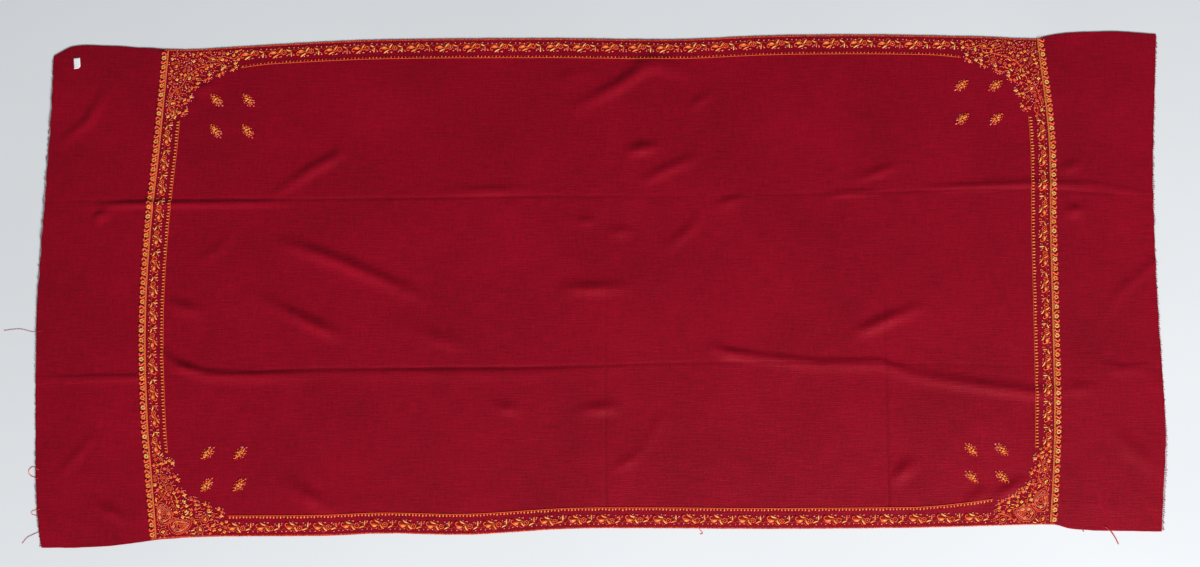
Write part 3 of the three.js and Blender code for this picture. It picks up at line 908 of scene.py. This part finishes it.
def rosette(plan, place, dye):  # a small open flower that leans against the stem
    v = 3.9 + plan.rand.uniform(-0.5, 0.5)
    petalRing(plan, place, 0, v, 1.2, 4.6, 8, 2.9, dye, plan.rand.uniform(0, 45))
    plan.knot(place, 0, v, 1.9, plan.rand.choice(("rust", "orange", "amber")))


def curl(plan, place):  # a plump hook that leans out from the stem
    hook = smooth([(2.2, 8.6), (0.8, 6.6), (-1.2, 4.2), (-1.5, 1.4), (0.6, 0.1), (2.4, 1.3)])
    plan.cord(place, hook, 3.0, "coral")
    plan.leaf(place, 2.0, 8.4, -118, 6.6, 2.8, "coral", layer=0.4)


sprigFlowers = (  # place in a sprig, size and dye
    (-8.6, 2.2, 5.0, "gold"), (-7.6, -3.0, 4.8, "orange"), (-3.6, 0.6, 5.6, "cream"),
    (-2.8, 5.4, 4.8, "orange"), (-2.2, -5.0, 5.2, "gold"), (2.2, 3.0, 5.4, "apricot"),
    (2.8, -2.4, 5.6, "gold"), (7.4, 1.2, 5.0, "apricot"), (7.0, -3.8, 4.2, "coral"),
    (4.8, 6.4, 3.8, "orange"), (11.0, 0.2, 3.8, "coral"),
)


def sprig(plan, place):  # stalk at the low end of u, pale tip at the high end
    rand = plan.rand
    plan.cord(place, smooth([(-15.5, 1.6), (-14.4, -1.4), (-11.6, -1.2), (-8.4, 0.8)]), 1.6, "amber")
    hand = rand.choice((-1, 1))
    for a, b, size, dye in sprigFlowers:
        u, v = a + rand.uniform(-0.7, 0.7), hand * b * 0.88 + rand.uniform(-0.7, 0.7)
        blossom(plan, place, u, v, size * 0.92, dye, rand.choice(("cream", "gold", "orange")))
    for side in (-1, 1):
        plan.leaf(place, 8.8, side * 3.4, side * 42, 4.2, 2.2, rand.choice(("coral", "pink")))
    plan.leaf(place, 13.2, 0, rand.uniform(-14, 14), 4.4, 2.7, rand.choice(("coral", "pink")))
    dots(plan, place, [
        (-11.6, 4.2), (-11.0, -4.8), (-6.2, 7.0), (-5.6, -7.4), (0.6, 8.2), (1.4, -7.2)], 2.2, "orange")
    dots(plan, place, [(8.0, 6.8), (6.6, -7.0), (-1.6, -8.8)], 2.2)


cornerLobes = (  # shares of the corner's reach along and across, and a radius
    (1, 0.28, 11), (0.8, 0.35, 9), (0.6, 0.42, 13),
    (0.42, 0.54, 11), (0.33, 0.74, 12), (0.27, 0.95, 12),
)
# the two arms of a corner group, up to the borders
cornerArms = {"past": 14, "longDepth": 25, "sideDepth": 22}


def insideWedge(u, v, along, across, margin):
    past = cornerArms["past"]
    if u < margin or v < margin:
        return False
    if v < cornerArms["longDepth"] - margin and u < along + past - margin:
        return True
    if u < cornerArms["sideDepth"] - margin and v < across + past - margin:
        return True
    rim = [(a * along, b * across) for a, b, _ in cornerLobes]
    outline = [(0, 0), (along, 0), *rim, (0, cornerLobes[-1][1] * across)]
    crossings = 0
    for (ax, ay), (bx, by) in zip(outline, outline[1:] + outline[:1]):
        if (ay > v) != (by > v) and u < ax + (v - ay) / (by - ay) * (bx - ax):
            crossings += 1
    inLobe = any(math.hypot(u - a * along, v - b * across) < r - margin for a, b, r in cornerLobes)
    return crossings % 2 == 1 or inLobe


def scatter(rand, taken, inside, reach, radius, most, tries):  # places with room for a motif
    found = []
    for _ in range(tries):
        u, v = rand.uniform(0, reach[0]), rand.uniform(0, reach[1])
        isTaken = any(math.hypot(u - a, v - b) < radius + r for a, b, r in taken)
        if isTaken or not inside(u, v, radius * 0.7):
            continue
        taken.append((u, v, radius))
        found.append((u, v))
        if len(found) == most:
            break
    return found


def swirl(plan, place, u, v, radius, dye):  # an open spiral round a dot
    turns = 1.5 * plan.rand.choice((-1, 1))
    plan.cord(place, coil(u, v, radius, radius * 0.35, turns, plan.rand.uniform(0, 360)), 1.5, dye)
    plan.knot(place, u, v, radius * 0.5, plan.rand.choice(("pink", "gold", "cream")), layer=0.3)


def tinyFlower(plan, place, u, v, dye):
    petalRing(plan, place, u, v, 0.3, 3.0, 5, 2.2, dye, plan.rand.uniform(0, 70))
    plan.knot(place, u, v, 1.3, plan.rand.choice(("orange", "coral")), layer=0.4)


def rimSpots(u, v, radius, turns):
    rim = [math.radians(turn) for turn in turns]
    return [(u + radius * math.cos(turn), v + radius * math.sin(turn)) for turn in rim]


def palmette(plan, place, u, v, angle):  # three flowers in a tight fan, with dots round them
    fan = within(place, u, v, angle)
    flowers = ((-68, ("gold", "cream")), (68, ("gold", "orange")), (0, ("coral", "orange", "gold")))
    for turn, dyes in flowers:
        c, s = math.cos(math.radians(turn)), math.sin(math.radians(turn))
        blossom(plan, fan, 6.0 * c - 1, 6.6 * s, 6.4, plan.rand.choice(dyes))
    plan.cord(fan, smooth([(-10, 3), (-7, 0.6), (-3, 0)]), 1.2, "orange")
    dots(plan, fan, rimSpots(0, 0, 9.8, (-104, -68, -24, 24, 68, 104)), 2.2)


def whorl(plan, place, u, v, radius):  # a stem that curls round a flower, with dots beside it
    rand = plan.rand
    start = rand.uniform(0, 360)
    turns = 1.2 * rand.choice((-1, 1))
    plan.cord(place, coil(u, v, radius, radius * 0.66, turns, start), 1.1, "orange")
    if rand.random() < 0.5:
        roundFlower(plan, place, u, v, radius * 0.42, rand.choice(("coral", "orange")), "gold")
    else:
        tulip(plan, place, u, v, start, 7.0, rand.choice(("gold", "cream")))
    dots(plan, place, rimSpots(u, v, radius + 2, [start + 45 * k for k in range(8)]), 2.1)


# a curved drop worked in uneven rows, one inside another, as shares of its size
paisleyRows = ((1.0, "orange"), (0.83, "coral"), (0.66, "pink"), (0.49, "orange"), (0.32, "coral"))


def paisley(plan, place, u, v, angle, length, wide):
    drop = within(place, u, v, angle)
    rand = plan.rand
    for share, dye in paisleyRows:
        row = []
        sway = rand.uniform(0, 6)
        for k in range(29):
            turn = 2 * math.pi * k / 28
            c, s = math.cos(turn), math.sin(turn)
            size = share * (1 + (share < 1) * 0.05 * math.sin(3 * turn + sway))
            row.append((length / 2 * size * c, wide * size * (s * (0.5 - 0.17 * c) + 0.16 * c * c)))
        plan.cord(drop, row, 1.1, dye)
    for a, b in ((-0.30, 0.12), (-0.04, -0.26), (0.12, 0.30), (-0.12, 0.36)):
        tinyFlower(plan, drop, a * length, b * wide, rand.choice(("gold", "cream", "apricot")))
    for a, b in ((0.02, 0.04), (0.20, 0.06)):
        roundFlower(plan, drop, a * length, b * wide, 3.4, rand.choice(("coral", "orange")), "gold")
    for _ in range(14):
        reach, turn = rand.uniform(0.3, 0.9), rand.uniform(0, 2 * math.pi)
        a, b = length / 2 * reach * math.cos(turn), wide * reach * (math.sin(turn) * 0.45 + 0.08)
        plan.knot(drop, a, b, 1.8, rand.choice(("coral", "orange", "pink")), layer=0.3)


cornerHeart = {  # two drops, as place, angle and size, and the room that they take
    "drops": ((15.5, 40, 98, 42, 26), (42, 15.5, 8, 42, 25)), "bed": 82, "bedReach": (64, 64),
    "room": ((15, 29, 11), (14, 42, 12), (13, 54, 8), (30, 15, 11), (43, 16, 12), (56, 17, 8)),
}


cornerFill = {  # the room that each kind of motif needs, and the most of them
    "bedFlowers": (3.5, 10), "bedRounds": (2.9, 18), "bedLeaves": (1.6, 110),
    "whorls": (9.2, 3), "flowers": (3.7, 20), "rounds": (3.4, 14), "sprays": (3.2, 16),
    "swirls": (2.6, 10), "knots": (1.9, 200),
}
dropFill = {**cornerFill, "whorls": (9.2, 5), "flowers": (3.7, 26)}  # beside the two drops


def buildBed(plan, place, taken):  # small flowers in the heart of a corner group
    rand = plan.rand

    def inHeart(u, v, margin):
        return u > margin and v > margin and u + v < cornerHeart["bed"]

    def spots(kind, tries=900):
        return scatter(rand, taken, inHeart, cornerHeart["bedReach"], *cornerFill[kind], tries)

    for u, v in spots("bedFlowers"):
        blossom(plan, place, u, v, 6.0, rand.choice(("gold", "cream", "gold")))
    for u, v in spots("bedRounds"):
        size, dye = rand.uniform(2.4, 3.2), rand.choice(("orange", "coral", "rust"))
        roundFlower(plan, place, u, v, size, dye, "gold")
    for u, v in spots("bedLeaves", tries=4000):
        turn, dye = rand.uniform(0, 360), rand.choice(("orange", "coral", "rust", "pink"))
        plan.leaf(place, u, v, turn, 3.4, 1.9, dye)


def buildCorner(plan, place, along, across, hasDrops, fill):
    rand = plan.rand
    rooms = dropFill if hasDrops else cornerFill
    reach = (along + cornerArms["past"], across + cornerArms["past"])
    taken = list(cornerHeart["room"]) if hasDrops else []
    for drop in cornerHeart["drops"] if hasDrops else ():
        paisley(plan, place, *drop)
    for share, over, _ in cornerLobes:
        u, v = share * along, over * across
        palmette(plan, place, u, v, math.degrees(math.atan2(v, u)))
        taken.append((u, v, 8))

    def inside(u, v, margin):
        return insideWedge(u, v, along, across, margin)

    def spots(kind, share=1, tries=900):
        room, most = rooms[kind]
        return scatter(rand, taken, inside, reach, room, round(most * share), tries)

    if not hasDrops:
        buildBed(plan, place, taken)
    for u, v in spots("whorls"):
        whorl(plan, place, u, v, 7.4)
    for u, v in spots("flowers", fill):
        dye = rand.choice(("gold", "cream", "gold", "coral"))
        if rand.random() < 0.6:
            blossom(plan, place, u, v, 6.4, dye)
        else:
            turn = math.degrees(math.atan2(v, u)) + rand.uniform(-60, 60)
            tulip(plan, place, u, v, turn, 7.4, dye)
    for u, v in spots("rounds", fill):
        dye = rand.choice(("orange", "coral"))
        roundFlower(plan, place, u, v, 3.3, dye, rand.choice(("gold", "pink", "rust")))
    for u, v in spots("sprays", fill):
        turn, count = 90 * (u < v) + rand.uniform(-40, 40), rand.choice((1, 2, 2))
        spray(plan, place, u, v, turn, count, rand.choice(("coral", "orange", "cream", "gold")))
    for u, v in spots("swirls"):
        swirl(plan, place, u, v, 2.3, rand.choice(("orange", "coral", "amber")))
    for u, v in spots("knots", fill, tries=6000):
        plan.knot(place, u, v, 2.3, rand.choice(("pink", "pink", "coral", "orange")))
    arcs = (
        [(5, across * 0.95), (12, across * 0.66), (26, across * 0.56),
         (38, 44), (along * 0.5, 30), (along * 0.8, 24)],
        [(4, 60), (13, 66), (22, 82), (14, across * 0.82), (20, across), (9, across + 12)],
        [(60, 5), (72, 14), (90, 18), (along * 0.82, 12), (along, 18), (along + 12, 9)],
    )
    for arc in arcs:
        plan.cord(place, smooth(arc, 8), 1.2, "orange")


borders = {
    "edgeMargin": 4, "edgingDepth": 12, "clearance": 1.5, "cornerMargin": 12, "cornerInset": 24,
}
corners = {
    "TopLeft": {"endSide": -1, "edgeSide": 1, "along": 118, "across": 116, "seed": 11, "fill": 0.6},
    "TopRight": {"endSide": 1, "edgeSide": 1, "along": 128, "across": 128, "seed": 12, "fill": 0.85},
    "BottomLeft": {"endSide": -1, "edgeSide": -1, "along": 112, "across": 134, "seed": 13, "fill": 1},
    "BottomRight": {"endSide": 1, "edgeSide": -1, "along": 84, "across": 118, "seed": 14, "fill": 1},
}
sprigGroups = {
    "TopLeft": {"x": -675, "y": 309, "stepX": 58, "stepY": 57, "turn": -48},
    "TopRight": {"x": 686, "y": 334, "stepX": 62, "stepY": 62, "turn": -140},
    "BottomLeft": {"x": -673, "y": -328, "stepX": 58, "stepY": 56, "turn": 46},
    "BottomRight": {"x": 681, "y": -318, "stepX": 54, "stepY": 48, "turn": 135},
}


def sideFrame(side):  # u up the side band, v inwards from its outer line
    return lambda u, v: (float(bandX(side, u)) - side * v, u)


def longFrame(edge):  # u along the shawl, v inwards from its long edge
    return lambda u, v: (u, float(edgeY(edge, u)) - edge * v)


def flatFrame(u, v):  # plain places on the laid cloth
    return u, v


def cornerFrame(endSide, edgeSide):  # u inwards from the stem, v inwards from the long edge's margin
    offset = borders["edgingDepth"] + borders["clearance"]

    def place(u, v):
        roughY = edgeSide * (halfWidth - borders["cornerInset"] - v)
        x = float(bandX(endSide, roughY)) - endSide * (offset + u)
        return x, float(edgeY(edgeSide, x)) - edgeSide * (borders["edgeMargin"] + v)
    return place


def cornerReach(endSide, edgeSide):  # where the borders beside a corner group begin
    name = ("Bottom", "Top")[edgeSide > 0] + ("Left", "Right")[endSide > 0]
    corner = corners[name]
    x, y = cornerFrame(endSide, edgeSide)(0, 0)
    margin = borders["cornerMargin"]
    return x - endSide * (corner["along"] + margin), y - edgeSide * (corner["across"] + margin)


cloth = buildCloth()
cloth.data.materials.append(wool)
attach(cloth, "root")
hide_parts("cloth")
print("cloth made,", len(cloth.data.polygons), "faces")

leafStitch = leafForm()
knotStitch = knotForm()
embroider = embroideryTree()
stitching = {"cordStep": 1.6, "clear": 0.05}
sewnPieces = []


def sew(name, plan, nodes, beyond=0.3):
    piece = runTree(name, plan.mesh(name), embroider, {
        "Cloth": cloth, "Leaf": leafStitch, "Knot": knotStitch, "Thread": thread,
        "Cord step": stitching["cordStep"] * mm, "Clear of cloth": stitching["clear"] * mm,
        "Height beyond cloth": beyond * mm})
    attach(piece, "root")
    if nodes:
        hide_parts(*nodes)
    sewnPieces.append(piece)
    print(name, "sewn,", len(piece.data.polygons), "faces")
    return piece


ladders = {
    "Left": {
        "depth": 43, "pitch": 5.8, "tooth": 6.0, "wide": 2.4, "line": 0.8,
        "dyes": ("apricot", "gold", "apricot")},
    "Right": {
        "depth": 45, "pitch": 5.7, "tooth": 6.4, "wide": 2.4, "line": 0.8,
        "dyes": ("apricot", "gold", "apricot")},
    "Top": {
        "depth": 36, "pitch": 6.6, "tooth": 4.6, "wide": 2.5, "line": 1.1,
        "dyes": ("orange", "amber", "rust"), "bends": ((0, 60, 4), (1, 60, 4))},
    "Bottom": {
        "depth": 35.8, "pitch": 6.0, "tooth": 4.8, "wide": 2.7, "line": 1.2,
        "dyes": ("apricot", "gold", "apricot"), "bends": ((1, 140, 11),)},
}


def runCells(plan, place, fromU, toU, v, pitch):
    count = round((toU - fromU) / pitch)
    step = (toU - fromU) / count
    stretch = step / vine["repeat"]
    for k in range(count):
        vineCell(plan, within(place, fromU + k * step, v, scale=stretch))


def nodeEnd(name):  # TopLeft becomes top_left
    row = "top" if name.startswith("Top") else "bottom"
    return row + ("_left" if name.endswith("Left") else "_right")


for name, side in (("Left", -1), ("Right", 1)):
    outer = sideFrame(side)
    margin = borders["edgeMargin"]
    low = bottomY(bandX(side, -halfWidth)) + margin
    high = topY(bandX(side, halfWidth)) - margin
    plan = Plan(seed=20 + side)
    buildEdging(plan, outer, float(low), float(high), side)
    sew("edging" + name, plan, ["edging_" + name.lower()])

    plan = Plan(seed=30 + side)
    low, high = cornerReach(side, -1)[1], cornerReach(side, 1)[1]
    runCells(plan, outer, low, high, *vine["side"])
    ladder(plan, outer, low, high, ladders[name])
    sew("border" + name, plan, ["border_" + name.lower()])

for name, edge in (("Top", 1), ("Bottom", -1)):
    inner = longFrame(edge)
    plan = Plan(seed=40 + edge)
    low, high = cornerReach(-1, edge)[0], cornerReach(1, edge)[0]
    runCells(plan, inner, low, high, *vine["long"])
    ladder(plan, inner, low, high, ladders[name])
    sew("border" + name, plan, ["border_" + name.lower()])

for name, corner in corners.items():
    plan = Plan(seed=corner["seed"])
    place = cornerFrame(corner["endSide"], corner["edgeSide"])
    hasDrops = corner["edgeSide"] < 0
    buildCorner(plan, place, corner["along"], corner["across"], hasDrops, corner["fill"])
    sew("corner" + name, plan, ["corner_" + nodeEnd(name)])

for name, group in sprigGroups.items():
    plan = Plan(seed=60 + len(sewnPieces))
    for sideY in (0.5, -0.5):
        for sideX in (-0.5, 0.5):
            x, y = group["x"] + sideX * group["stepX"], group["y"] + sideY * group["stepY"]
            turn = group["turn"] + plan.rand.uniform(-5, 5)
            sprig(plan, within(flatFrame, x, y, turn, scale=0.94))
    nodes = [f"sprig_{nodeEnd(name)}_{number}" for number in (1, 2, 3, 4)]
    sew("sprigs" + name, plan, nodes)

hem = {"pitch": 2.3, "stitch": 3.9, "wide": 1.7, "high": 0.45, "depth": 3.1, "level": 440, "gap": 2}


def buildHem(plan, edge):  # thread wound over the long edge, between the side bands
    place = longFrame(edge)
    low = float(bandX(-1, edge * hem["level"])) + hem["gap"]
    high = float(bandX(1, edge * hem["level"])) - hem["gap"]
    count = round((high - low) / hem["pitch"])
    for k in range(count):
        u = low + (high - low) * (k + 0.5) / count
        turn, dye = -90 + plan.rand.uniform(-8, 8), plan.rand.choice(("orange", "rust"))
        plan.leaf(place, u, hem["depth"], turn, hem["stitch"], hem["wide"], dye, high=hem["high"])


for name, edge in (("Top", 1), ("Bottom", -1)):
    plan = Plan(seed=80 + edge)
    buildHem(plan, edge)
    sew("hem" + name, plan, [], beyond=0.5)

fray = {"pitch": 3.6, "length": 3.4, "thick": 1.5, "endGap": 3, "step": 4.0, "seed": 5}


def frayTree():  # short loose yarns along a cut end
    tree, group = newTree("fray", {
        "Yarn": "Material", "Pitch": "Float", "Length": "Float", "Thick": "Float",
        "Heading": "Float", "Seed": "Int"})
    line = group.node("GeometryNodeMeshToCurve", {}, {"Mesh": group.out("Geometry")})
    line = group.node("GeometryNodeResampleCurve", {"mode": "LENGTH"}, {
        "Curve": line, "Length": group.out("Pitch")})
    yarn = group.node("GeometryNodeCurvePrimitiveBezierSegment", {"mode": "POSITION"}, {
        "Resolution": 3, "Start": (-0.3, 0.0, 0.0), "Start Handle": (0.3, 0.0, 0.1),
        "End Handle": (0.7, 0.3, 0.1), "End": (1.0, 0.15, -0.1)})

    def chance(low, high, offset):
        return group.node("FunctionNodeRandomValue", {"data_type": "FLOAT"}, {
            2: low, 3: high, "Seed": group.out("Seed") + offset}, output=1)

    turn = group.out("Heading") + chance(-0.7, 0.7, 1)
    size = group.out("Length") * chance(0.3, 1.0, 2) ** 1.2
    spread = group.node("GeometryNodeInstanceOnPoints", {}, {
        "Points": line, "Instance": yarn, "Rotation": group.join(chance(-0.5, 0.5, 3), 0.0, turn),
        "Scale": group.join(size, size * chance(-1.5, 1.5, 4), size * 0.5)})
    spread = group.node("GeometryNodeRealizeInstances", {}, {"Geometry": spread})
    endTree(group.tube(spread, 3, group.out("Thick") * 0.5), group.out("Yarn"))
    return tree


frayed = frayTree()
for name, side in (("Left", -1), ("Right", 1)):
    low, high = float(bottomY(side * halfLength)), float(topY(side * halfLength))
    ys = np.arange(low + fray["endGap"], high - fray["endGap"], fray["step"])
    xs = rightX(ys) if side > 0 else leftX(ys)
    points = np.column_stack([xs, ys, clothTop(xs, ys)]) * mm
    mesh = bpy.data.meshes.new("fray" + name)
    mesh.from_pydata(points, [(i, i + 1) for i in range(len(ys) - 1)], [])
    piece = runTree("fray" + name, mesh, frayed, {
        "Yarn": wool, "Pitch": fray["pitch"] * mm, "Length": fray["length"] * mm,
        "Thick": fray["thick"] * mm, "Heading": 0.0 if side > 0 else math.pi, "Seed": fray["seed"]})
    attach(piece, "root")
    sewnPieces.append(piece)
    print(piece.name, "made,", len(piece.data.polygons), "faces")

label = {
    "x": -961, "y": 406, "wide": 11.4, "tall": 20, "clip": 4, "turn": 6, "thick": 0.5,
    "clear": 0.35, "lift": 0.8, "columns": 9, "rows": 13,
}


def buildLabel():  # a small blank tape with one corner cut off
    halfWide, halfTall = label["wide"] / 2, label["tall"] / 2
    columns = np.linspace(-halfWide, halfWide, label["columns"])
    a, b = np.meshgrid(columns, np.linspace(-halfTall, halfTall, label["rows"]))
    over = np.clip((a + halfWide) / label["wide"], 0, 1)
    clipped = label["clip"] * over * np.clip(-b / halfTall, 0, 1)
    clipped = np.minimum(clipped, a - halfWide + label["clip"])
    b = b + np.where(a > halfWide - label["clip"], clipped, 0) * (b < 0)
    c, s = math.cos(math.radians(label["turn"])), math.sin(math.radians(label["turn"]))
    x, y = label["x"] + a * c - b * s, label["y"] + a * s + b * c
    lift = label["lift"] * (abs(b) / halfTall) ** 6 * (b < 0)
    low = clothTop(x, y) + label["clear"] + lift
    mesh = shellMesh("label", x, y, low, low + label["thick"])
    return addObject("label", mesh)


labelPiece = buildLabel()
labelPiece.data.materials.append(tape)
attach(labelPiece, "root")
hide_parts("label")
print("label made")

# loose yarns that hang from the cut ends and lie on the floor: (thickness, dye, points)
looseYarns = (
    (0.6, "yarn", ((-1004, -83), (-1022, -85), (-1046, -80), (-1074, -83))),
    (0.9, "coral", ((-1000, -330), (-1012, -325), (-1019, -333), (-1014, -341), (-1002, -345))),
    (0.7, "coral", ((-996, -399), (-1008, -402), (-1011, -407), (-998, -412))),
    (0.7, "yarn", ((-992, -437), (-1008, -444), (-1017, -449), (-1025, -459))),
    (1.9, "yarn", ((887, -429), (896, -436), (905, -449), (910, -460))),
    (1.4, "yarn", ((846, -429), (848, -436), (850, -438))),
    (0.9, "coral", ((168, -429), (172, -436), (177, -441), (172, -443))),
)


def buildLooseYarns():
    plan = Plan(seed=95)
    for thick, dye, points in looseYarns:
        plan.cord(flatFrame, smooth(points), thick, dye, layer=0.1)
    return plan


sew("looseYarns", buildLooseYarns(), [], beyond=0.1)

studio = {
    "floorSize": 9.0, "floorBelow": 0.0001,
    "keyPlace": (2.24, -6.02, 3.08), "keySize": (3.9, 2.5), "keyWatts": 892,
    "world": (0.90, 0.95, 1.0, 1.0), "worldStrength": 0.31,
    "lens": 35, "sensor": 36, "elevation": 85, "distance": 2.100, "aim": (-0.0050, 0.0021, 0.0),
}


def buildStudio():
    half, z = studio["floorSize"] / 2, -studio["floorBelow"]
    ring = [(-half, -half, z), (half, -half, z), (half, half, z), (-half, half, z)]
    mesh = bpy.data.meshes.new("floor")
    mesh.from_pydata(ring, [], [(0, 1, 2, 3)])
    mesh.materials.append(floorMaterial())
    addObject("floor", mesh)
    lamp = bpy.data.lights.new("key", "AREA")
    lamp.shape = "RECTANGLE"
    lamp.size, lamp.size_y = studio["keySize"]
    lamp.energy = studio["keyWatts"]
    key = addObject("key", lamp)
    key.location = studio["keyPlace"]
    key.rotation_euler = Vector(studio["keyPlace"]).to_track_quat("Z", "Y").to_euler()
    world = bpy.data.worlds.new("studio")
    world.use_nodes = True
    background = world.node_tree.nodes["Background"]
    background.inputs["Color"].default_value = studio["world"]
    background.inputs["Strength"].default_value = studio["worldStrength"]
    bpy.context.scene.world = world
    bpy.context.scene.view_settings.view_transform = "Standard"


def buildCamera():
    data = bpy.data.cameras.new("camera")
    data.lens = studio["lens"]
    data.sensor_width = studio["sensor"]
    camera = addObject("camera", data)
    tilt = math.radians(studio["elevation"])
    back = Vector((0, -math.cos(tilt), math.sin(tilt))) * studio["distance"]
    camera.location = Vector(studio["aim"]) + back
    camera.rotation_euler = (math.pi / 2 - tilt, 0, 0)
    bpy.context.scene.camera = camera


buildStudio()
buildCamera()
for form in (leafStitch, knotStitch):
    bpy.data.objects.remove(form)
print("studio made")
